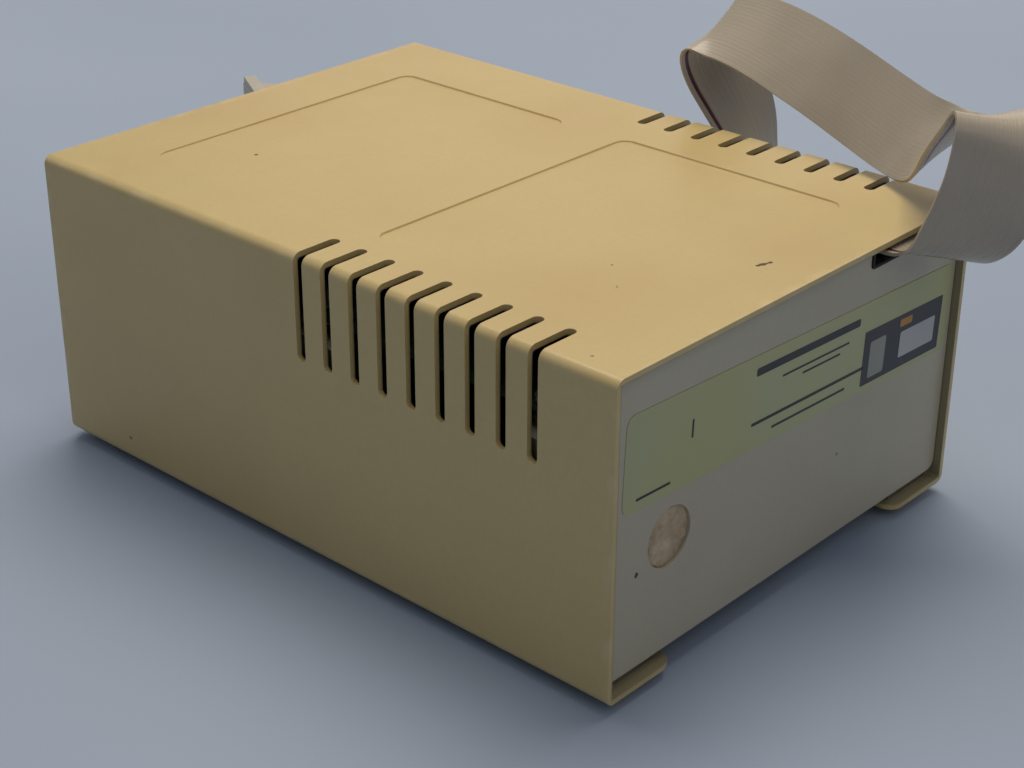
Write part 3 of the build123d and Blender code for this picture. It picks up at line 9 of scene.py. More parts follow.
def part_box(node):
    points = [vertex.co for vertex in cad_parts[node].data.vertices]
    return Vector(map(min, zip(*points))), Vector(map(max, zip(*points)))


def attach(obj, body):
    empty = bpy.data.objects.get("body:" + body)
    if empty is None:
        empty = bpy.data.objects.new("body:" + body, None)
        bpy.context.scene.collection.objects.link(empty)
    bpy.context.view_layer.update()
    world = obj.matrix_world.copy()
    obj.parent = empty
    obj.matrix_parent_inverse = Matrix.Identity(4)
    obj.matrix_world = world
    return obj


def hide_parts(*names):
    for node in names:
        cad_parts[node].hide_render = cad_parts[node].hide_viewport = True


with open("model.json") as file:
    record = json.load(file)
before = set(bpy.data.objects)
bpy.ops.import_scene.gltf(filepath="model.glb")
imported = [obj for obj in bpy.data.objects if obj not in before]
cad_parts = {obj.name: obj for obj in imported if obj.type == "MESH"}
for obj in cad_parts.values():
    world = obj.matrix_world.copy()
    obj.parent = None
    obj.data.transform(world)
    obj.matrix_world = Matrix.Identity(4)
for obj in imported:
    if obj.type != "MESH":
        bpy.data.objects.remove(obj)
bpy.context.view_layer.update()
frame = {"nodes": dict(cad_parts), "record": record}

bl_info = {
    "name": "Floppy disk drive",
    "version": (1, 0, 0),
    "blender": (4, 5, 0),
    "location": "View3D > Sidebar > Drive",
    "description": "Dresses a floppy disk drive and its flat cable",
    "category": "Object",
}

MM = 0.001
NODES = frame["nodes"]
RECORD = frame["record"]
SLOTS = {part["node"]: part["material_slot"] for part in RECORD["subparts"]}
BODIES = {node: body for body, nodes in RECORD["behaviour"]["bodies"].items() for node in nodes}


def linear(code):
    """An sRGB hex colour as linear numbers."""
    values = [int(code[place:place + 2], 16) / 255 for place in (1, 3, 5)]
    return tuple(v / 12.92 if v <= 0.04045 else ((v + 0.055) / 1.055) ** 2.4 for v in values)


class DriveSizes(bpy.types.PropertyGroup):
    """Sizes that a user may change"""

    cover_edge: FloatProperty(
        name="Cover edge", description="Rounding of the painted sheet's cut edges",
        default=0.25 * MM, unit="LENGTH")
    panel_edge: FloatProperty(
        name="Panel edge", description="Rounding of thin sheet edges",
        default=0.25 * MM, unit="LENGTH")
    moulded_edge: FloatProperty(
        name="Moulded edge", description="Rounding of moulded and cast edges",
        default=0.35 * MM, unit="LENGTH")
    small_edge: FloatProperty(
        name="Small edge", description="Rounding of small machined edges",
        default=0.15 * MM, unit="LENGTH")
    ribbon_width: FloatProperty(
        name="Cable width", description="Twenty wires side by side",
        default=25.4 * MM, unit="LENGTH")
    ribbon_thickness: FloatProperty(
        name="Cable thickness", description="Thickness over one wire",
        default=1.0 * MM, unit="LENGTH")
    ribbon_web: FloatProperty(
        name="Cable web", description="Thickness between two wires",
        default=0.96 * MM, unit="LENGTH")
    ribbon_wires: IntProperty(name="Wires", description="Wires in the cable", default=20, min=2)
    ink_height: FloatProperty(
        name="Ink", description="How far the printed shapes stand on the label",
        default=0.04 * MM, unit="LENGTH")
    label_tilt: FloatProperty(
        name="Label tilt", description="Turn of the label on the panel",
        default=math.radians(2.5), subtype="ANGLE")
    paper_crumple: FloatProperty(
        name="Paper crumple", description="How deep the paper seal is crumpled",
        default=0.5 * MM, unit="LENGTH")


class DriveColours(bpy.types.PropertyGroup):
    """Colours that a user may change"""

    paint: FloatVectorProperty(
        name="Case paint", description="Aged beige enamel", subtype="COLOR",
        default=linear("#CCB67E"))
    panel: FloatVectorProperty(
        name="Panel paint", description="Greyer enamel of the back panel", subtype="COLOR",
        default=linear("#C2B9A1"))
    label: FloatVectorProperty(
        name="Label", description="Pale green label film", subtype="COLOR",
        default=linear("#B8B67E"))
    cable: FloatVectorProperty(
        name="Cable", description="Grey vinyl of the flat cable", subtype="COLOR",
        default=linear("#B4A998"))
    stripe: FloatVectorProperty(
        name="Cable stripe", description="Dark red print along one wire", subtype="COLOR",
        default=linear("#5A2B31"))
    floor: FloatVectorProperty(
        name="Floor", description="Plain pale floor", subtype="COLOR",
        default=linear("#A3B0C4"))


def sizes():
    """The drive's sizes."""
    return bpy.context.scene.drive_sizes


def colours():
    """The drive's colours."""
    return bpy.context.scene.drive_colours


# Helpers for meshes

# Corners this near are one corner, and faces this nearly level with each other one face
SAME_CORNER = 0.002 * MM
SAME_FACE = math.radians(0.5)


def only(piece):
    """Select one object alone and make it active."""
    bpy.ops.object.select_all(action="DESELECT")
    piece.select_set(True)
    bpy.context.view_layer.objects.active = piece


def settle(piece):
    """Put the object's place into its mesh."""
    only(piece)
    bpy.ops.object.transform_apply(location=True, rotation=True, scale=True)


def apply_all(piece):
    """Apply every modifier in order."""
    only(piece)
    for modifier in list(piece.modifiers):
        bpy.ops.object.modifier_apply(modifier=modifier.name)


def round_edges(piece, width, segments=2, angle=35):
    """Round the edges that are sharper than the angle in degrees."""
    modifier = piece.modifiers.new("rounded edges", "BEVEL")
    modifier.width = width
    modifier.segments = segments
    modifier.limit_method = "ANGLE"
    modifier.angle_limit = math.radians(angle)
    modifier.use_clamp_overlap = True


def shade_smooth(piece, angle=30):
    """Smooth shading across edges flatter than the angle in degrees."""
    only(piece)
    bpy.ops.object.shade_smooth_by_angle(angle=math.radians(angle))


def pick(piece, test):
    """Select in edit mode the faces whose middle and normal pass the test."""
    only(piece)
    bpy.ops.object.mode_set(mode="EDIT")
    bpy.ops.mesh.select_mode(type="FACE")
    bpy.ops.mesh.select_all(action="DESELECT")
    bpy.ops.object.mode_set(mode="OBJECT")
    for face in piece.data.polygons:
        face.select = test(face.center, face.normal)
    bpy.ops.object.mode_set(mode="EDIT")


def flatten_shading(piece):
    """Keep large flat faces evenly shaded up to their rounded edges."""
    weighted = piece.modifiers.new("weighted normals", "WEIGHTED_NORMAL")
    weighted.keep_sharp = True
    apply_all(piece)


def paint(piece, *materials):
    """Give the piece its materials."""
    piece.data.materials.clear()
    for material in materials:
        piece.data.materials.append(material)


def merged_copy(node):
    """Copy of a CAD node with its loose triangles merged into faces."""
    piece = NODES[node].copy()
    piece.data = NODES[node].data.copy()
    piece.name = node + "_finish"
    piece.data.name = piece.name
    piece.parent = None
    for key in list(piece.keys()):
        del piece[key]
    bpy.context.collection.objects.link(piece)
    only(piece)
    bpy.ops.object.mode_set(mode="EDIT")
    bpy.ops.mesh.select_all(action="SELECT")
    bpy.ops.mesh.remove_doubles(threshold=SAME_CORNER)
    bpy.ops.mesh.dissolve_limited(angle_limit=SAME_FACE)
    bpy.ops.object.mode_set(mode="OBJECT")
    return piece


def stand_for(piece, node):
    """Make a piece stand for a CAD node, on the same body."""
    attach(piece, BODIES[node])
    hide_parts(node)


def dress(width, *nodes):
    """Round the edges of CAD nodes and give each its finish."""
    pieces = []
    for node in nodes:
        piece = merged_copy(node)
        round_edges(piece, width)
        apply_all(piece)
        shade_smooth(piece)
        flatten_shading(piece)
        paint(piece, finish(SLOTS[node]))
        stand_for(piece, node)
        pieces.append(piece)
    return pieces


def coat(*nodes):
    """Give CAD nodes their finish and leave their shapes."""
    for node in nodes:
        paint(NODES[node], finish(SLOTS[node]))


# Materials


def add(tree, kind, inputs=None, stops=None, **settings):
    """Add a shader node, set it, fill or link its inputs and place its colour stops."""
    made = tree.nodes.new("ShaderNode" + kind)
    for name, value in settings.items():
        setattr(made, name, value)
    for name, value in (inputs or {}).items():
        if isinstance(value, bpy.types.Node):
            value = [socket for socket in value.outputs if socket.enabled][0]
        if isinstance(value, bpy.types.NodeSocket):
            tree.links.new(value, made.inputs[name])
        else:
            made.inputs[name].default_value = value
    for number, (place, colour) in enumerate(stops or ()):
        elements = made.color_ramp.elements
        element = elements[number] if number < len(elements) else elements.new(place)
        element.position = place
        element.color = colour
    return made


def shade(code):
    """An sRGB hex colour as a linear colour with full alpha."""
    return (*linear(code), 1.0)


def grey(value):
    """A plain number as a grey for a colour stop."""
    return (value, value, value, 1.0)


def begin(name):
    """Empty material, its tree and its object coordinates."""
    material = bpy.data.materials.new(name)
    material.use_nodes = True
    tree = material.node_tree
    tree.nodes.clear()
    return material, tree, add(tree, "TexCoord").outputs["Object"]


def close(material, tree, inputs):
    """Give the material its shader and its output."""
    add(tree, "OutputMaterial", {"Surface": add(tree, "BsdfPrincipled", inputs)})
    return material


def chip(tree, where, centre, reach, turn):
    """Mask of one ragged chip: its centre, its reach along three axes, its turn about Z."""
    local = add(tree, "Mapping", {"Vector": where, "Location": centre, "Scale": reach,
                                  "Rotation": (0, 0, turn)}, vector_type="TEXTURE")
    apart = add(tree, "VectorMath", {0: local}, operation="LENGTH")
    # Noise moves the rim in and out, and the paint goes from gone to whole about one reach out
    sway, gone, whole = 1.6, 1.6, 1.85
    ragged = add(tree, "TexNoise", {"Vector": where, "Scale": 0.8 / min(reach), "Detail": 3.0})
    edge = add(tree, "Math", {0: ragged, 1: sway, 2: apart}, operation="MULTIPLY_ADD")
    return add(tree, "MapRange", {"Value": edge, "From Min": whole, "From Max": gone})


def depths(tree, where, low, high):
    """Depths under the faces of a box along its three axes."""
    half = (high - low) / 2
    moved = add(tree, "VectorMath", {0: where, 1: (low + high) / 2}, operation="SUBTRACT")
    apart = add(tree, "VectorMath", {0: moved}, operation="ABSOLUTE")
    depth = add(tree, "VectorMath", {0: half, 1: apart}, operation="SUBTRACT")
    return add(tree, "SeparateXYZ", {"Vector": depth}).outputs


def inside_shade(tree, where, low, high):
    """Mask of the inside of a box folded from sheet, where a darker tone paints the shade."""
    # The sheet is 1.7 mm thick, and the painted shade begins 1.2 mm down the walls of its slots
    shade_from, sheet = 1.2 * MM, 1.7 * MM
    x, y, z = depths(tree, where, low, high)
    nearest = add(tree, "Math", {0: x, 1: z}, operation="MINIMUM")
    return add(tree, "MapRange", {"Value": nearest, "From Min": shade_from, "From Max": sheet})


def worn_and_highlit(tree, where, low, high):
    """Mask of the edges of a box in ragged patches, where hands and shelves wear the paint and a
    paler tone paints the highlight along them.
    """
    # The pale tone is full up to 0.6 mm from an edge and gone past 3.2 mm
    full, end = 0.6 * MM, 3.2 * MM
    x, y, z = depths(tree, where, low, high)
    nearest = add(tree, "Math", {0: x, 1: z}, operation="MAXIMUM")
    for first, second in ((y, z), (x, y)):
        other = add(tree, "Math", {0: first, 1: second}, operation="MAXIMUM")
        nearest = add(tree, "Math", {0: nearest, 1: other}, operation="MINIMUM")
    band = add(tree, "MapRange", {"Value": nearest, "From Min": end, "From Max": full})
    patches = add(tree, "TexNoise", {"Vector": where, "Scale": 1 / (7 * MM), "Detail": 4.0})
    ragged = add(tree, "MapRange", {"Value": patches, "From Min": 0.45, "From Max": 0.7})
    return add(tree, "Math", {0: band, 1: ragged}, operation="MULTIPLY")


def enamel(name, colour, aged, rough, peel, chips, edges=None):
    """Baked enamel on sheet steel: its colour, the tone it ages to, gloss, peel and chips."""
    material, tree, where = begin(name)
    # Age yellows it in clouds 60 mm across
    slow = add(tree, "TexNoise", {"Vector": where, "Scale": 1 / (60 * MM), "Detail": 2.0})
    share = add(tree, "MapRange", {"Value": slow, "From Min": 0.35, "From Max": 0.7})
    tint = add(tree, "Mix", {0: share, 6: (*colour, 1.0), 7: shade(aged)}, data_type="RGBA")
    # Pigment and settled dust leave a faint mottle 1.6 mm across
    fine = add(tree, "TexNoise", {"Vector": where, "Scale": 1 / (1.6 * MM), "Detail": 3.0})
    mottle = add(tree, "ValToRGB", {"Fac": fine}, ((0.2, grey(0.95)), (0.8, grey(1.0))))
    tint = add(tree, "Mix", {0: 1.0, 6: tint, 7: mottle}, data_type="RGBA",
               blend_type="MULTIPLY")
    # Hairline scratches are 0.05 mm wide, and 0.5 mm here, so that they show
    drawn = add(tree, "Mapping", {"Vector": where, "Rotation": (0.3, 0.2, 0.5),
                                  "Scale": (1 / (0.5 * MM), 1 / (30 * MM), 1 / (4 * MM))})
    lines = add(tree, "TexNoise", {"Vector": drawn, "Scale": 1.0, "Detail": 1.0})
    scratch = add(tree, "MapRange", {"Value": lines, "From Min": 0.70, "From Max": 0.78})
    tint = add(tree, "Mix", {0: scratch, 6: tint, 7: shade(aged)}, data_type="RGBA")
    if edges:
        # A paler tone along the box's edges paints their highlight over worn paint
        tint = add(tree, "Mix", {0: worn_and_highlit(tree, where, *edges), 6: tint, 7: shade("#D0BC8E")},
                   data_type="RGBA")
        # A darker, greyer tone inside the box and down its slots paints the shade there
        tint = add(tree, "Mix", {0: inside_shade(tree, where, *edges), 6: tint, 7: shade("#968C6E")},
                   data_type="RGBA")
    for centre, reach, turn, code in chips:
        tint = add(tree, "Mix", {0: chip(tree, where, centre, reach, turn), 6: tint,
                                 7: shade(code)}, data_type="RGBA")
    # Hands polish it in patches 9 mm across, and its orange peel is 0.9 mm across
    patchy = add(tree, "TexNoise", {"Vector": where, "Scale": 1 / (9 * MM), "Detail": 3.0})
    satin = add(tree, "ValToRGB", {"Fac": patchy},
                ((0.3, grey(rough - 0.05)), (0.7, grey(rough + 0.05))))
    skin = add(tree, "TexNoise", {"Vector": where, "Scale": 1 / (0.9 * MM), "Detail": 1.0})
    relief = add(tree, "Bump", {"Height": skin, "Strength": peel, "Distance": 0.05 * MM})
    return close(material, tree, {"Base Color": tint, "Roughness": satin, "Normal": relief,
                                  "IOR": 1.48})


def case_enamel():
    """Case paint: a textured satin film, yellowed unevenly and chipped, worn at the folds and
    painted paler there as a highlight, and painted darker inside as shade.
    """
    # Each chip: its middle in metres, its reach along three axes, its turn and its tone
    chips = (
        ((0.0006, 0.0942, 0.0910), (2.1 * MM, 0.7 * MM, 3 * MM), -0.35, "#33240F"),
        ((-0.0018, 0.0949, 0.0910), (0.9 * MM, 0.6 * MM, 3 * MM), 0.0, "#4A3920"),
        ((0.0333, -0.0599, 0.0910), (0.8 * MM, 0.6 * MM, 3 * MM), 0.3, "#5E4A2A"),
        ((0.0255, 0.0660, 0.0910), (0.5 * MM, 0.4 * MM, 3 * MM), 0.0, "#7A6440"),
        ((0.0351, 0.0756, 0.0910), (0.9 * MM, 0.3 * MM, 3 * MM), 0.6, "#9A8560"),
        ((0.0696, 0.0968, 0.0910), (0.5 * MM, 0.5 * MM, 3 * MM), 0.0, "#8A7450"),
        ((0.0760, -0.0733, 0.0103), (3 * MM, 0.9 * MM, 0.5 * MM), 0.0, "#8A744C"),
    )
    return enamel("baked enamel on folded steel, aged beige", colours().paint, "#C7AE78", 0.34,
                  0.35, chips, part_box("outer_cover"))


def panel_enamel():
    """Panel paint: a thinner, greyer and smoother coat that kept its colour in the recess."""
    chips = (
        ((0.0639, 0.1073, 0.0344), (0.8 * MM, 3 * MM, 0.8 * MM), 0.0, "#453C2C"),
        ((-0.0210, 0.1073, 0.0330), (0.5 * MM, 3 * MM, 0.5 * MM), 0.0, "#6A6150"),
    )
    return enamel("baked enamel on flat steel, grey beige", colours().panel, "#B9B099", 0.38,
                  0.2, chips)


def moulded(name, low, high, rough, grain, depth, more):
    """Moulded, cast or drawn surface: a tone that drifts, and a grain in millimetres that
    dulls it and stands depth millimetres proud."""
    material, tree, where = begin(name)
    # The melt's tone drifts over 18 mm
    slow = add(tree, "TexNoise", {"Vector": where, "Scale": 1 / (18 * MM), "Detail": 3.0})
    tint = add(tree, "ValToRGB", {"Fac": slow}, ((0.3, shade(low)), (0.7, shade(high))))
    fine = add(tree, "TexNoise", {"Vector": where, "Scale": 1 / (grain * MM), "Detail": 2.0})
    dull = add(tree, "ValToRGB", {"Fac": fine},
               ((0.3, grey(rough - 0.06)), (0.7, grey(rough + 0.06))))
    relief = add(tree, "Bump", {"Height": fine, "Strength": 0.5, "Distance": depth * MM})
    return close(material, tree, {"Base Color": tint, "Roughness": dull, "Normal": relief,
                                  **more})


def plated(name, low, high, rough, spangle):
    """Plated steel: crystals a few millimetres across, each a little lighter or darker."""
    material, tree, where = begin(name)
    cells = add(tree, "TexVoronoi", {"Vector": where, "Scale": 1 / (spangle * MM)})
    tint = add(tree, "ValToRGB", {"Fac": cells.outputs["Color"]},
               ((0.2, shade(low)), (0.8, shade(high))))
    wiped = add(tree, "TexNoise", {"Vector": where, "Scale": 1 / (6 * MM), "Detail": 4.0})
    dull = add(tree, "ValToRGB", {"Fac": wiped},
               ((0.3, grey(rough - 0.07)), (0.7, grey(rough + 0.09))))
    return close(material, tree, {"Base Color": tint, "Roughness": dull, "Metallic": 1.0})


def turned(name, low, high, rough, middle):
    """Lathe-turned metal: rings round the upright axis through a node's middle."""
    # The tool's rings are 0.1 mm apart, and 0.5 mm here, so that they show
    material, tree, where = begin(name)
    first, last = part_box(middle)
    local = add(tree, "Mapping", {"Vector": where, "Location": (first + last) / 2},
                vector_type="TEXTURE")
    rings = add(tree, "TexWave", {"Vector": local, "Scale": math.pi / (10 * 0.5 * MM),
                                  "Distortion": 0.3}, wave_type="RINGS", rings_direction="Z")
    tint = add(tree, "ValToRGB", {"Fac": rings}, ((0.0, shade(low)), (1.0, shade(high))))
    dull = add(tree, "ValToRGB", {"Fac": rings},
               ((0.0, grey(rough - 0.05)), (1.0, grey(rough + 0.07))))
    relief = add(tree, "Bump", {"Height": rings, "Strength": 0.3, "Distance": 0.02 * MM})
    return close(material, tree, {"Base Color": tint, "Roughness": dull, "Normal": relief,
                                  "Metallic": 1.0})


def label_film():
    """Label: printed film, even and thin, with a slight sheen, faded a little in clouds."""
    material, tree, where = begin("polyester film, pale green")
    slow = add(tree, "TexNoise", {"Vector": where, "Scale": 1 / (40 * MM), "Detail": 2.0})
    share = add(tree, "MapRange", {"Value": slow, "From Min": 0.35, "From Max": 0.65})
    tint = add(tree, "Mix", {0: share, 6: (*colours().label, 1.0), 7: shade("#B4B58A")},
               data_type="RGBA")
    fine = add(tree, "TexNoise", {"Vector": where, "Scale": 1 / (0.6 * MM), "Detail": 2.0})
    dull = add(tree, "ValToRGB", {"Fac": fine}, ((0.3, grey(0.36)), (0.7, grey(0.44))))
    relief = add(tree, "Bump", {"Height": fine, "Strength": 0.3, "Distance": 0.01 * MM})
    return close(material, tree, {"Base Color": tint, "Roughness": dull, "Normal": relief})


def sealing_paper():
    """Seal's paper: fibrous, matt, stained unevenly by old gum and by hands."""
    material, tree, where = begin("crumpled paper, pinkish cream")
    blotch = add(tree, "TexNoise", {"Vector": where, "Scale": 1 / (5 * MM), "Detail": 4.0,
                                    "Roughness": 0.6})
    stain = add(tree, "ValToRGB", {"Fac": blotch}, ((0.30, shade("#A28A6C")),
                                                    (0.48, shade("#C2AA8A")),
                                                    (0.70, shade("#D4C0A2"))))
    # Paper fibres are 0.02 mm wide, and drawn 0.4 mm wide
    fibres = add(tree, "TexNoise", {"Vector": where, "Scale": 1 / (0.4 * MM), "Detail": 3.0})
    weft = add(tree, "ValToRGB", {"Fac": fibres}, ((0.3, grey(0.86)), (0.7, grey(1.0))))
    tint = add(tree, "Mix", {0: 1.0, 6: stain, 7: weft}, data_type="RGBA",
               blend_type="MULTIPLY")
    creases = add(tree, "TexNoise", {"Vector": where, "Scale": 1 / (2 * MM), "Detail": 2.0})
    relief = add(tree, "Bump", {"Height": creases, "Strength": 1.0, "Distance": 0.6 * MM})
    return close(material, tree, {"Base Color": tint, "Roughness": 0.8, "Normal": relief})


def strobe_card():
    """Printed card: pale and matt, with sixty dark bars round its rim for setting the speed."""
    material, tree, where = begin("printed card, pale with dark bars")
    bars, plain_radius = 60.0, 32 * MM
    low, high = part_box("strobe_disc")
    local = add(tree, "Mapping", {"Vector": where, "Location": (low + high) / 2},
                vector_type="TEXTURE")
    turn = add(tree, "TexGradient", {"Vector": local}, gradient_type="RADIAL")
    count = add(tree, "Math", {0: turn.outputs["Fac"], 1: bars}, operation="MULTIPLY")
    share = add(tree, "Math", {0: count}, operation="FRACT")
    bar = add(tree, "Math", {0: share, 1: 0.5}, operation="GREATER_THAN")
    out = add(tree, "VectorMath", {0: local}, operation="LENGTH")
    ring = add(tree, "Math", {0: out, 1: plain_radius}, operation="GREATER_THAN")
    inked = add(tree, "Math", {0: bar, 1: ring}, operation="MULTIPLY")
    tint = add(tree, "Mix", {0: inked, 6: shade("#D9D6CA"), 7: shade("#26252A")},
               data_type="RGBA")
    fine = add(tree, "TexNoise", {"Vector": where, "Scale": 1 / (0.5 * MM), "Detail": 2.0})
    relief = add(tree, "Bump", {"Height": fine, "Strength": 0.3, "Distance": 0.02 * MM})
    return close(material, tree, {"Base Color": tint, "Roughness": 0.65, "Normal": relief})


def board_laminate():
    """Glass laminate: glossy green solder mask with the copper traces showing through, darkened
    nearly to black as painted shade inside the case.
    """
    material, tree, where = begin("glass laminate, dark green solder mask")
    # The traces run round cells 14 mm across
    traces = add(tree, "TexBrick", {"Vector": where, "Scale": 1 / (14 * MM),
                                    "Color1": grey(0.0), "Color2": grey(0.25),
                                    "Mortar": grey(1.0), "Mortar Size": 0.02},
                 offset=0.37, squash=1.7)
    # Both greens are darkened as painted shade inside the case
    tint = add(tree, "Mix", {0: traces, 6: shade("#0F2415"), 7: shade("#1E3F25")},
               data_type="RGBA")
    # Glass weave is 0.5 mm across, and drawn 2 mm across
    weave = add(tree, "TexMagic", {"Vector": where, "Scale": 1 / (2 * MM)}, turbulence_depth=1)
    relief = add(tree, "Bump", {"Height": weave, "Strength": 0.15, "Distance": 0.02 * MM})
    return close(material, tree, {"Base Color": tint, "Roughness": 0.3, "Normal": relief})


def vinyl(name, colour, aged, run):
    """Extruded PVC: a clear sheen, with long faint streaks along each wire."""
    material, tree, where = begin(name)
    slow = add(tree, "TexNoise", {"Vector": where, "Scale": 1 / (35 * MM), "Detail": 2.0})
    share = add(tree, "MapRange", {"Value": slow, "From Min": 0.35, "From Max": 0.7})
    tint = add(tree, "Mix", {0: share, 6: (*colour, 1.0), 7: shade(aged)}, data_type="RGBA")
    inputs = {"Base Color": tint, "Roughness": 0.3, "IOR": 1.53}
    if run:
        # The strip's own map runs in metres across and along it. The die's lines are 0.1 mm
        # wide, and 0.6 mm here, so that they show
        strip = add(tree, "UVMap", uv_map="run")
        drawn = add(tree, "Mapping", {"Vector": strip,
                                      "Scale": (1 / (0.6 * MM), 1 / (45 * MM), 1.0)})
        streaks = add(tree, "TexNoise", {"Vector": drawn, "Scale": 1.0, "Detail": 2.0})
        inputs["Roughness"] = add(tree, "ValToRGB", {"Fac": streaks},
                                  ((0.3, grey(0.22)), (0.7, grey(0.34))))
        inputs["Normal"] = add(tree, "Bump", {"Height": streaks, "Strength": 0.05,
                                              "Distance": 0.05 * MM})
    return close(material, tree, inputs)


def flat_vinyl():
    """Grey vinyl of the cable inside the case."""
    return vinyl("extruded vinyl, grey", colours().cable, "#A79D8C", False)


METAL = {"Metallic": 1.0}
# Each slot: the function that makes its finish, then the finish's name and values. A comment
# says what a finish gives the eye, and the functions without values say it themselves
FINISHES = {
    "case_paint": (case_enamel,),
    "panel_paint": (panel_enamel,),
    "label_vinyl": (label_film,),
    "seal_paper": (sealing_paper,),
    # Pressed rubber: dark and matt, greyed by dust
    "black_rubber": (moulded, "moulded rubber, black", "#171717", "#242322", 0.75, 0.6, 0.05,
                     {}),
    # Zinc plate: pale, cloudy, a little yellow
    "zinc_steel": (plated, "zinc plate on sheet steel", "#97968C", "#B4B3A8", 0.36, 4.0),
    # The same plate on small heads: finer crystals, a little brighter
    "screw_steel": (plated, "zinc plate on screws", "#9C9B94", "#B5B4AE", 0.32, 1.5),
    # Spark-textured tool: black that turns every light into a soft grey haze
    "bezel_plastic": (moulded, "ABS, spark texture, black", "#181716", "#201F1E", 0.55, 0.5,
                      0.07, {}),
    # Clear lens: deep red and glossy, with a little light going through
    "light_lens": (moulded, "acrylic lens, red", "#8E120C", "#AE1E14", 0.12, 3.0, 0.0,
                   {"Transmission Weight": 0.3}),
    # Polished mould: black, with soft light along its edges
    "black_nylon": (moulded, "moulded nylon, black", "#171717", "#201F1F", 0.5, 0.6, 0.02, {}),
    # Die casting: grey, with the grain of the die and faint flow lines
    "cast_metal": (moulded, "die-cast aluminium", "#93958F", "#AFB0AC", 0.5, 1.2, 0.06, METAL),
    # Slippery and waxy: black with a satin streak along each guide
    "guide_plastic": (moulded, "acetal, black", "#1E1E1E", "#282828", 0.42, 0.8, 0.02, {}),
    # Ground and hardened: nearly a mirror
    "bearing_steel": (plated, "ground bearing steel", "#C2C3C2", "#CFCFCE", 0.16, 1.0),
    # Drawn and ground: bright, a little softer than the bearings
    "shaft_steel": (plated, "ground steel rod", "#B4B4B2", "#C3C3C1", 0.22, 1.0),
    # Bright rings that fan the light out round the hub
    "hub_metal": (turned, "turned aluminium", "#B5B6B6", "#CDCECE", 0.3, "spindle_hub"),
    "strobe_paper": (strobe_card,),
    # Ground flat: near black, matt, with a fine nap
    "belt_rubber": (moulded, "ground polyurethane belt", "#1F1D1D", "#292726", 0.6, 0.5, 0.03,
                    {}),
    # Nickel: a warm grey with a soft sheen
    "motor_can": (plated, "nickel plate on drawn steel", "#9A9993", "#ABAAA4", 0.28, 6.0),
    # Yellow, with the tool's rings
    "brass": (turned, "turned brass", "#A98440", "#C29C54", 0.3, "motor_pulley"),
    # Natural acetal: milky, light goes a little way in
    "cam_plastic": (moulded, "natural acetal", "#D8D5C4", "#E1DED0", 0.4, 1.0, 0.01,
                    {"Subsurface Weight": 0.1, "Subsurface Scale": 2 * MM}),
    # Glass fibres near the skin dull the dark grey
    "carriage_plastic": (moulded, "glass-filled polycarbonate, dark grey", "#292928",
                         "#343433", 0.5, 0.5, 0.04, {}),
    # Lapped ceramic: dense and glossy
    "head_ceramic": (moulded, "lapped ceramic", "#443F39", "#524C45", 0.12, 0.8, 0.0, {}),
    # Pressed felt: fuzzy, no gloss at all
    "pad_felt": (moulded, "pressed wool felt", "#C9C2B0", "#DAD4C4", 0.93, 0.35, 0.15,
                 {"Sheen Weight": 0.3}),
    # Worn smooth by the disks: black with a small clear highlight
    "cone_plastic": (moulded, "acetal cone, black", "#1A1A1A", "#242424", 0.38, 0.8, 0.01, {}),
    "board_laminate": (board_laminate,),
    # Blasted mould: flat black-grey, dull all over
    "chip_plastic": (moulded, "moulded epoxy, black", "#191919", "#222222", 0.55, 0.4, 0.03,
                     {}),
    # Tight sleeve: deep blue with a long clear highlight
    "capacitor_sleeve": (moulded, "shrunk PVC sleeve, blue", "#1B3A66", "#254676", 0.25, 2.0,
                         0.0, {}),
    # Small bright blue block, glossy on its flats
    "trimmer_blue": (moulded, "moulded nylon, blue", "#204A90", "#2856A2", 0.3, 0.8, 0.01, {}),
    # Glass-filled polyester: slightly rough where the fibres lie near the skin
    "plug_plastic": (moulded, "glass-filled polyester, light grey", "#A9A498", "#BAB5A9", 0.45,
                     0.5, 0.04, {}),
    "cable_vinyl": (flat_vinyl,),
}
# Finishes made so far
MADE = {}


def finish(slot):
    """The finish of a material slot, made the first time that it is asked for."""
    if slot not in MADE:
        make, *values = FINISHES[slot]
        MADE[slot] = make(*values)
    return MADE[slot]
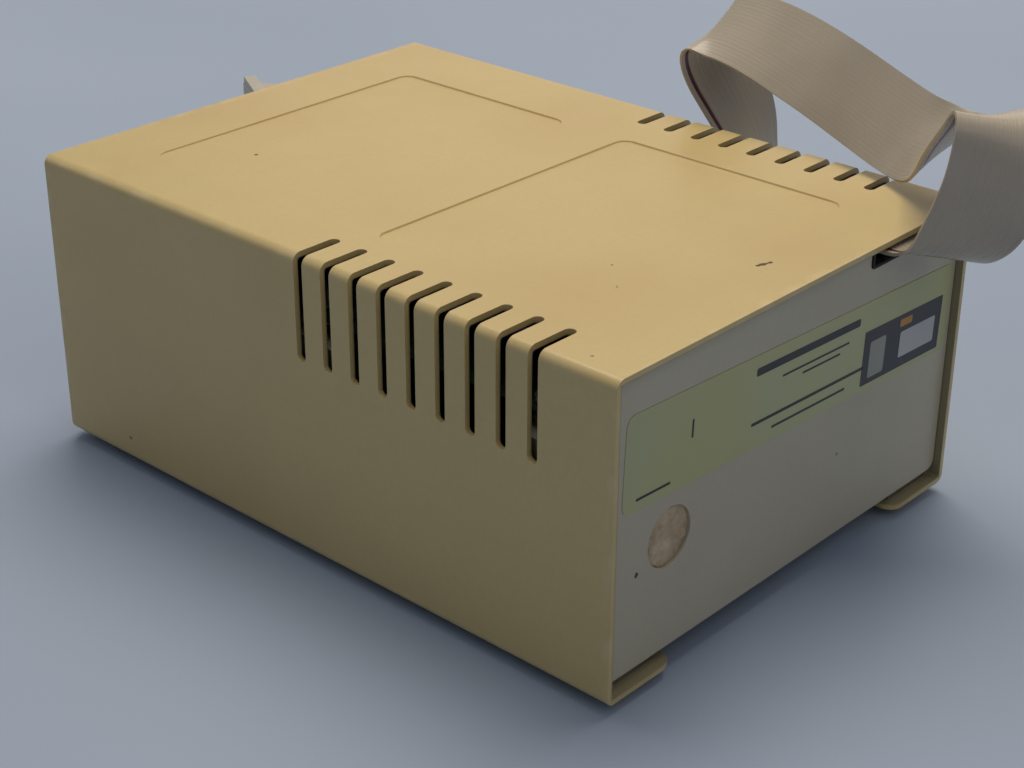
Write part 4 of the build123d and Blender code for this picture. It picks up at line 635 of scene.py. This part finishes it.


# Cable route: the part's points in metres, each with the cable's side. The
# points of the drop past the crest are moved by up to 6 mm to follow the photograph
ROUTE = (
    ((-0.0457, 0.1073, 0.0879), (1.00, 0.00, 0.00)),
    ((-0.0457, 0.1145, 0.0879), (1.00, 0.00, 0.00)),
    ((-0.0432, 0.1210, 0.0856), (0.89, -0.22, 0.40)),
    ((-0.0420, 0.1290, 0.0970), (0.62, -0.62, 0.48)),
    ((-0.0410, 0.1340, 0.1110), (0.57, -0.72, 0.40)),
    ((-0.0443, 0.1330, 0.1256), (0.68, -0.69, 0.25)),
    ((-0.0530, 0.1255, 0.1245), (0.82, -0.57, -0.04)),
    ((-0.0620, 0.1135, 0.1150), (0.83, -0.47, -0.30)),
    ((-0.0695, 0.1035, 0.1060), (0.75, -0.37, -0.55)),
    ((-0.0745, 0.0915, 0.1030), (0.55, -0.14, -0.82)),
    ((-0.0790, 0.0755, 0.1062), (0.54, -0.07, -0.84)),
    ((-0.0845, 0.0525, 0.1118), (0.58, -0.06, -0.81)),
    ((-0.0905, 0.0270, 0.1162), (0.74, -0.13, -0.66)),
    ((-0.0910, 0.0085, 0.1175), (0.79, -0.17, -0.59)),
    ((-0.0935, 0.0060, 0.1070), (0.81, -0.20, -0.55)),
    ((-0.0965, 0.0170, 0.0900), (0.90, -0.15, -0.35)),
    ((-0.0980, 0.0260, 0.0690), (0.86, 0.20, 0.45)),
    ((-0.0980, 0.0300, 0.0450), (0.95, 0.10, 0.20)),
    ((-0.0980, 0.0270, 0.0220), (0.98, -0.12, 0.00)),
    ((-0.1000, 0.0115, 0.0045), (0.96, -0.26, 0.00)),
    ((-0.1065, -0.0105, 0.0009), (0.96, -0.28, 0.00)),
    ((-0.1135, -0.0345, 0.0012), (0.96, -0.28, 0.02)),
    ((-0.1215, -0.0605, 0.0100), (0.70, -0.20, 0.68)),
    ((-0.1310, -0.0885, 0.0135), (0.03, 0.00, 1.00)),
    ((-0.1480, -0.1155, 0.0134), (0.00, 0.00, 1.00)),
    ((-0.1720, -0.1365, 0.0134), (0.00, 0.00, 1.00)),
    ((-0.1970, -0.1565, 0.0134), (0.00, 0.00, 1.00)),
    ((-0.2160, -0.1825, 0.0134), (0.00, 0.00, 1.00)),
    ((-0.2240, -0.2125, 0.0134), (0.00, 0.00, 1.00)),
    ((-0.2200, -0.2405, 0.0134), (0.03, 0.05, 1.00)),
    ((-0.2070, -0.2645, 0.0116), (0.36, 0.47, 0.80)),
    ((-0.18995, -0.28493, 0.0065), (0.49, 0.83, 0.27)),
    ((-0.17071, -0.29560, 0.0065), (0.485, 0.874, 0.00)),
)


# Steps along the cable between two points of its route, and across each of its wires
PER_POINT = 7
PER_WIRE = 4


def followed(name, points):
    """Points read along the NURBS spline that has these control points."""
    line = bpy.data.curves.new(name, "CURVE")
    line.dimensions = "3D"
    line.resolution_u = PER_POINT
    spline = line.splines.new("NURBS")
    spline.points.add(len(points) - 1)
    for point, place in zip(spline.points, points):
        point.co = (*place, 1.0)
    spline.order_u = 3
    spline.use_endpoint_u = True
    holder = bpy.data.objects.new(name, line)
    mesh = bpy.data.meshes.new_from_object(holder)
    found = [vertex.co.copy() for vertex in mesh.vertices]
    bpy.data.meshes.remove(mesh)
    bpy.data.objects.remove(holder)
    bpy.data.curves.remove(line)
    return found


def cable_section():
    """Section of the flat cable, all round: each wire a soft rib on both faces."""
    size = sizes()
    pitch = size.ribbon_width / size.ribbon_wires
    upper = []
    for number in range(size.ribbon_wires * PER_WIRE + 1):
        across = size.ribbon_width / 2 - number * pitch / PER_WIRE
        rib = abs(math.sin(math.pi * number / PER_WIRE))
        upper.append((across, size.ribbon_web / 2
                      + (size.ribbon_thickness - size.ribbon_web) / 2 * rib))
    return upper + [(across, -height) for across, height in reversed(upper)]


def cable_strip(name, centres, edges, wires, stripe):
    """Flat cable along the centre line, its width towards the edge line, with one wire striped."""
    section = cable_section()
    ring = len(section)
    count = len(centres)
    points = []
    along_at = [0.0]
    for number, (centre, edge) in enumerate(zip(centres, edges)):
        along = (centres[min(number + 1, count - 1)] - centres[max(number - 1, 0)]).normalized()
        side = edge - centre
        side = (side - along * side.dot(along)).normalized()
        up = along.cross(side)
        points.extend(centre + side * across + up * height for across, height in section)
        if number:
            along_at.append(along_at[-1] + (centre - centres[number - 1]).length)
    # The stripe runs along the second wire, on the lower face
    first_striped, after_striped = ring - 1 - 2 * PER_WIRE, ring - 1 - PER_WIRE
    faces = []
    maps = []
    striped = []
    for number in range(count - 1):
        base, further = number * ring, (number + 1) * ring
        for place in range(ring):
            follow = (place + 1) % ring
            faces.append((base + place, base + follow, further + follow, further + place))
            near, far = section[place][0], section[follow][0]
            start, stop = along_at[number], along_at[number + 1]
            maps.extend(((near, start), (far, start), (far, stop), (near, stop)))
            striped.append(first_striped <= place < after_striped)
    faces.append(tuple(reversed(range(ring))))
    faces.append(tuple((count - 1) * ring + place for place in range(ring)))
    maps.extend((across, 0.0) for across, height in section + section)
    mesh = bpy.data.meshes.new(name)
    mesh.from_pydata(points, [], faces)
    run = mesh.uv_layers.new(name="run")
    for loop, place in zip(run.data, maps):
        loop.uv = place
    mesh.update()
    piece = bpy.data.objects.new(name, mesh)
    paint(piece, wires, stripe)
    for face, marked in zip(mesh.polygons, striped + [False, False]):
        face.material_index = int(marked)
    bpy.context.collection.objects.link(piece)
    only(piece)
    bpy.ops.object.mode_set(mode="EDIT")
    bpy.ops.mesh.select_all(action="SELECT")
    bpy.ops.mesh.normals_make_consistent(inside=False)
    bpy.ops.object.mode_set(mode="OBJECT")
    shade_smooth(piece, 60)
    return piece


class DRIVE_OT_stage(bpy.types.Operator):
    """Make the floor, the lamps and the camera"""

    bl_idname = "drive.stage"
    bl_label = "Stage"

    def execute(self, context):
        self.camera(context)
        floor_width = 8
        bpy.ops.object.select_all(action="DESELECT")
        bpy.ops.mesh.primitive_plane_add(size=floor_width, location=(0, 0, 0))
        floor = context.active_object
        floor.name = "floor"
        settle(floor)
        # Matt sheet: plain, with a faint drift of tone
        material, tree, where = begin("matt floor, pale blue grey")
        slow = add(tree, "TexNoise", {"Vector": where, "Scale": 1 / (400 * MM), "Detail": 2.0})
        share = add(tree, "MapRange", {"Value": slow, "From Min": 0.35, "From Max": 0.65})
        tint = add(tree, "Mix", {0: share, 6: (*colours().floor, 1.0), 7: shade("#9CA9BE")},
                   data_type="RGBA")
        paint(floor, close(material, tree, {"Base Color": tint, "Roughness": 0.9,
                                           "Specular IOR Level": 0.1}))
        # Each lamp: its name, its place and width in metres, its watts and its colour
        lamps = (
            ("key", (-0.45, -0.30, 1.6), 1.2, 23.0, "#FFF4E2"),
            ("fill", (0.45, 1.3, 1.4), 1.2, 3.0, "#FFF4E4"),
            ("rim", (-1.5, -1.0, 0.5), 1.3, 3.0, "#FFEBD0"),
            ("front", (0.6, -1.3, 0.9), 0.8, 1.4, "#F6F2EC"),
        )
        middle = Vector((0, 0, 0.05))
        for name, place, width, power, colour in lamps:
            data = bpy.data.lights.new(name, "AREA")
            data.size = width
            data.energy = power
            data.color = linear(colour)
            lamp = bpy.data.objects.new(name, data)
            lamp.location = place
            aim = middle - Vector(place)
            lamp.rotation_euler = aim.to_track_quat("-Z", "Y").to_euler()
            context.collection.objects.link(lamp)
        world = bpy.data.worlds.new("plain studio")
        world.use_nodes = True
        back = world.node_tree.nodes["Background"]
        back.inputs["Color"].default_value = shade("#C2CDE0")
        back.inputs["Strength"].default_value = 0.26
        context.scene.world = world
        context.scene.view_settings.view_transform = "Standard"
        return {"FINISHED"}

    def camera(self, context):
        """Photograph's viewing angle, found from the case's edges."""
        # Its place is in metres and its angles are in degrees
        place = (0.37902, 0.35268, 0.28594)
        heading, tilt, roll = 132.1785, 63.2550, 0.2438
        data = bpy.data.cameras.new("camera")
        data.lens = 69.2
        data.sensor_width = 36
        data.clip_start = 0.01
        camera = bpy.data.objects.new("camera", data)
        camera.matrix_world = (Matrix.Translation(place)
                               @ Matrix.Rotation(math.radians(heading), 4, "Z")
                               @ Matrix.Rotation(math.radians(tilt), 4, "X")
                               @ Matrix.Rotation(math.radians(roll), 4, "Z"))
        context.collection.objects.link(camera)
        context.scene.camera = camera


class DRIVE_OT_cable(bpy.types.Operator):
    """Make the flat cable and dress its plug"""

    bl_idname = "drive.cable"
    bl_label = "Cable"

    def execute(self, context):
        half = sizes().ribbon_width / 2
        centres = followed("centre line", [place for place, side in ROUTE])
        edges = followed("edge line", [Vector(place) + Vector(side).normalized() * half
                                       for place, side in ROUTE])
        wires = vinyl("extruded vinyl, grey, streaked", colours().cable, "#A79D8C", True)
        stripe = vinyl("extruded vinyl, dark red stripe", colours().stripe, "#4D252B", True)
        cable = cable_strip("flat_cable", centres, edges, wires, stripe)
        stand_for(cable, "ribbon_cable")
        plug = dress(sizes().moulded_edge, "cable_connector", "connector_cap")
        return {"FINISHED"}


class DRIVE_OT_cover(bpy.types.Operator):
    """Dress the folded cover"""

    bl_idname = "drive.cover"
    bl_label = "Cover"

    def execute(self, context):
        dress(sizes().cover_edge, "outer_cover")
        return {"FINISHED"}


class DRIVE_OT_base(bpy.types.Operator):
    """Dress the base plate and its feet and cut the crosses into its screws"""

    bl_idname = "drive.base"
    bl_label = "Base"

    def execute(self, context):
        dress(sizes().panel_edge, "base_plate")
        dress(sizes().moulded_edge, "rubber_feet")
        screws = dress(sizes().moulded_edge, "case_screws")[0]
        low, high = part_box("case_screws")
        # A head's rim to its middle
        head = 3 * MM
        first = self.cross(Vector((high.x - head, high.y - head, low.z)))
        crosses = [first]
        for x, y in ((low.x, high.y), (high.x, low.y), (low.x, low.y)):
            piece = first.copy()
            piece.data = first.data.copy()
            context.collection.objects.link(piece)
            piece.location = (x - high.x + (2 * head if x == low.x else 0),
                              y - high.y + (2 * head if y == low.y else 0), 0)
            settle(piece)
            crosses.append(piece)
        for piece in crosses:
            cut = screws.modifiers.new("cross", "BOOLEAN")
            cut.object = piece
            cut.solver = "EXACT"
        apply_all(screws)
        for piece in crosses:
            bpy.data.objects.remove(piece)
        shade_smooth(screws)
        return {"FINISHED"}

    def cross(self, centre):
        """Cross-shaped driver tip that reaches into a head from below."""
        arm, lift = 1.1 * MM, 0.2 * MM
        bpy.ops.object.select_all(action="DESELECT")
        bpy.ops.mesh.primitive_cube_add(size=arm, location=centre)
        tip = bpy.context.active_object
        settle(tip)
        pick(tip, lambda middle, normal: abs(normal.z) < 0.5)
        bpy.ops.mesh.extrude_faces_move(TRANSFORM_OT_shrink_fatten={"value": arm})
        bpy.ops.mesh.select_all(action="SELECT")
        bpy.ops.transform.translate(value=(0, 0, lift))
        bpy.ops.object.mode_set(mode="OBJECT")
        return tip


class DRIVE_OT_back(bpy.types.Operator):
    """Dress the back panel and its notch trim"""

    bl_idname = "drive.back"
    bl_label = "Back panel"

    def execute(self, context):
        dress(sizes().panel_edge, "back_panel")
        dress(sizes().small_edge, "cable_notch_trim")
        return {"FINISHED"}


class DRIVE_OT_seal(bpy.types.Operator):
    """Model the crumpled paper seal over the adjusting hole"""

    bl_idname = "drive.seal"
    bl_label = "Paper seal"

    def execute(self, context):
        low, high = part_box("hole_seal")
        middle = (low + high) / 2
        radius = (high.x - low.x) / 2
        crumple = sizes().paper_crumple
        thickness = 0.2 * MM
        # Shares of the radius: where the gummed rim starts, and how softly it rises from there
        rim, rise = 0.88, 0.3
        bpy.ops.object.select_all(action="DESELECT")
        bpy.ops.mesh.primitive_circle_add(vertices=48, radius=radius, fill_type="NOTHING",
                                          location=middle, rotation=(math.radians(-90), 0, 0))
        seal = context.active_object
        seal.name = "paper_seal"
        settle(seal)
        bpy.ops.object.mode_set(mode="EDIT")
        bpy.ops.mesh.select_all(action="SELECT")
        bpy.ops.mesh.fill_grid(span=12)
        bpy.ops.mesh.select_all(action="SELECT")
        bpy.ops.mesh.normals_make_consistent(inside=False)
        bpy.ops.object.mode_set(mode="OBJECT")
        # The rim lies flat and the middle stands up and is crumpled
        pick(seal, lambda centre, normal: (centre - middle).length < rim * radius)
        bpy.ops.transform.translate(value=(0, crumple, 0), use_proportional_edit=True,
                                    proportional_edit_falloff="SMOOTH",
                                    proportional_size=rise * radius)
        bpy.ops.transform.vertex_random(offset=2 * crumple, uniform=0.0, normal=1.0, seed=5)
        bpy.ops.object.mode_set(mode="OBJECT")
        wall = seal.modifiers.new("paper thickness", "SOLIDIFY")
        wall.thickness = thickness
        wall.offset = -1
        soft = seal.modifiers.new("soft creases", "SUBSURF")
        soft.levels = soft.render_levels = 2
        apply_all(seal)
        shade_smooth(seal, 50)
        paint(seal, finish(SLOTS["hole_seal"]))
        stand_for(seal, "hole_seal")
        return {"FINISHED"}


class DRIVE_OT_label(bpy.types.Operator):
    """Dress the label with plain ruled lines and plain blocks"""

    bl_idname = "drive.label"
    bl_label = "Label"

    def execute(self, context):
        coat("rating_label")
        # Screen ink: a thin even film, slightly glossier than what it is printed on
        inks = {
            "dark": moulded("screen ink, dark", "#1B1A1D", "#242327", 0.4, 0.5, 0.0, {}),
            "navy": moulded("screen ink, navy", "#17161F", "#1E1D29", 0.34, 0.5, 0.0, {}),
            "pale": moulded("screen ink, pale", "#8F9086", "#9B9C90", 0.4, 0.5, 0.0, {}),
            "white": moulded("screen ink, white", "#B4B4B2", "#BFBFBC", 0.4, 0.5, 0.0, {}),
            "amber": moulded("screen ink, amber", "#B77E1C", "#C58A22", 0.4, 0.5, 0.0, {}),
        }
        # Each shape in millimetres: name, ink, middle from the label's, size, corner, layer
        shapes = (
            ("heading_line", "dark", (-2.5, 8.3), (46.0, 2.2), 0.5, 0),
            ("upper_line", "dark", (-6.0, 3.9), (30.0, 0.6), 0.2, 0),
            ("second_line", "dark", (-8.5, 1.9), (17.0, 0.6), 0.2, 0),
            ("number_line", "dark", (-4.0, -5.9), (50.0, 0.9), 0.3, 0),
            ("lower_line", "dark", (-4.5, -9.3), (33.0, 0.7), 0.3, 0),
            ("corner_line", "dark", (59.5, -10.0), (13.0, 0.7), 0.3, 0),
            ("small_mark", "dark", (45.5, 1.8), (0.7, 5.0), 0.3, 0),
            ("dark_block", "navy", (-48.0, -3.5), (38.8, 15.8), 0.4, 0),
            ("pale_square", "pale", (-35.5, -4.5), (7.6, 10.6), 0.8, 1),
            ("white_block", "white", (-55.5, -4.6), (17.6, 7.6), 0.5, 1),
            ("amber_bar", "amber", (-49.0, 1.9), (6.0, 2.2), 0.5, 1),
        )
        for name, ink, place, size, corner, layer in shapes:
            self.shape(name, inks[ink], place, size, corner, layer)
        return {"FINISHED"}

    def shape(self, name, ink, place, size, corner, layer):
        """One printed shape with rounded corners, as thick as the ink."""
        low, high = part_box("rating_label")
        tilt = sizes().label_tilt
        thick = sizes().ink_height
        turn = Matrix.Rotation(-tilt, 3, "Y")
        middle = (low + high) / 2
        middle.y = high.y + layer * thick
        centre = middle + turn @ Vector((place[0] * MM, 0, place[1] * MM))
        bpy.ops.object.select_all(action="DESELECT")
        bpy.ops.mesh.primitive_plane_add(size=1, location=centre,
                                         rotation=(math.radians(-90), -tilt, 0))
        piece = bpy.context.active_object
        piece.name = name
        piece.scale = (size[0] * MM, size[1] * MM, 1)
        settle(piece)
        bpy.ops.object.mode_set(mode="EDIT")
        bpy.ops.mesh.select_all(action="SELECT")
        bpy.ops.mesh.bevel(offset=corner * MM, segments=3, affect="VERTICES")
        bpy.ops.mesh.select_all(action="SELECT")
        bpy.ops.mesh.extrude_region_move(TRANSFORM_OT_translate={"value": (0, thick, 0)})
        bpy.ops.mesh.select_all(action="SELECT")
        bpy.ops.mesh.normals_make_consistent(inside=False)
        bpy.ops.object.mode_set(mode="OBJECT")
        paint(piece, ink)
        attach(piece, BODIES["rating_label"])


class DRIVE_OT_front(bpy.types.Operator):
    """Dress the bezel, the door and the activity light"""

    bl_idname = "drive.front"
    bl_label = "Front"

    def execute(self, context):
        dress(sizes().moulded_edge, "front_bezel", "door")
        dress(sizes().small_edge, "led_holder", "door_hinge_pin")
        coat("activity_light")
        return {"FINISHED"}


class DRIVE_OT_chassis(bpy.types.Operator):
    """Dress the chassis, its guides and the write-protect switch"""

    bl_idname = "drive.chassis"
    bl_label = "Chassis"

    def execute(self, context):
        dress(sizes().moulded_edge, "drive_chassis", "disk_guide_left", "disk_guide_right")
        dress(sizes().small_edge, "guide_rods", "write_protect_switch")
        coat("write_protect_lever")
        return {"FINISHED"}


class DRIVE_OT_spindle(bpy.types.Operator):
    """Dress the spindle, its motor and the belt between them"""

    bl_idname = "drive.spindle"
    bl_label = "Spindle"

    def execute(self, context):
        dress(sizes().small_edge, "spindle_shaft", "spindle_hub", "flywheel_pulley",
              "spindle_bearing_upper", "spindle_bearing_lower", "drive_belt", "motor_shaft",
              "motor_pulley", "motor_screws")
        dress(sizes().moulded_edge, "spindle_motor")
        coat("strobe_disc")
        return {"FINISHED"}


class DRIVE_OT_head(bpy.types.Operator):
    """Dress the stepper motor, its cam, the head carriage and the pressure arm"""

    bl_idname = "drive.head"
    bl_label = "Head"

    def execute(self, context):
        dress(sizes().moulded_edge, "stepper_motor", "head_carriage")
        dress(sizes().small_edge, "stepper_screws", "stepper_shaft", "read_write_head",
              "cam_follower", "pressure_pad_arm", "pad_arm_pin", "pressure_pad")
        coat("spiral_cam")
        return {"FINISHED"}


class DRIVE_OT_clamp(bpy.types.Operator):
    """Dress the clamp arm and its cone"""

    bl_idname = "drive.clamp"
    bl_label = "Clamp"

    def execute(self, context):
        dress(sizes().moulded_edge, "clamp_cone")
        dress(sizes().small_edge, "clamp_arm", "clamp_arm_pin", "cone_retainer")
        return {"FINISHED"}


class DRIVE_OT_boards(bpy.types.Operator):
    """Dress the circuit boards with what stands on them"""

    bl_idname = "drive.boards"
    bl_label = "Boards"

    def execute(self, context):
        dress(sizes().small_edge, "analog_board", "board_chips", "board_capacitors",
              "board_header", "board_socket", "board_standoffs", "board_screws",
              "motor_speed_board", "speed_trimmer", "trimmer_rotor")
        coat("ribbon_inner")
        return {"FINISHED"}


class DRIVE_PT_panel(bpy.types.Panel):
    """Sidebar panel that lists the drive's operators"""

    bl_idname = "DRIVE_PT_panel"
    bl_label = "Floppy disk drive"
    bl_space_type = "VIEW_3D"
    bl_region_type = "UI"
    bl_category = "Drive"

    def draw(self, context):
        for operator in OPERATORS:
            self.layout.operator(operator.bl_idname)
        for group in (context.scene.drive_sizes, context.scene.drive_colours):
            for name in group.bl_rna.properties.keys():
                if name not in ("rna_type", "name"):
                    self.layout.prop(group, name)


OPERATORS = (
    DRIVE_OT_stage,
    DRIVE_OT_cable,
    DRIVE_OT_cover,
    DRIVE_OT_base,
    DRIVE_OT_back,
    DRIVE_OT_seal,
    DRIVE_OT_label,
    DRIVE_OT_front,
    DRIVE_OT_chassis,
    DRIVE_OT_spindle,
    DRIVE_OT_head,
    DRIVE_OT_clamp,
    DRIVE_OT_boards,
)
CLASSES = (DriveSizes, DriveColours, *OPERATORS, DRIVE_PT_panel)


def register():
    """Register the classes and the scene's properties."""
    for cls in CLASSES:
        bpy.utils.register_class(cls)
    bpy.types.Scene.drive_sizes = PointerProperty(type=DriveSizes)
    bpy.types.Scene.drive_colours = PointerProperty(type=DriveColours)


def unregister():
    """Take the classes and the properties away again."""
    del bpy.types.Scene.drive_sizes
    del bpy.types.Scene.drive_colours
    for cls in reversed(CLASSES):
        bpy.utils.unregister_class(cls)


def main():
    """Make the whole drive, in order."""
    register()
    for operator in OPERATORS:
        getattr(bpy.ops.drive, operator.bl_idname.split(".")[1])()


if __name__ == "__main__":
    main()
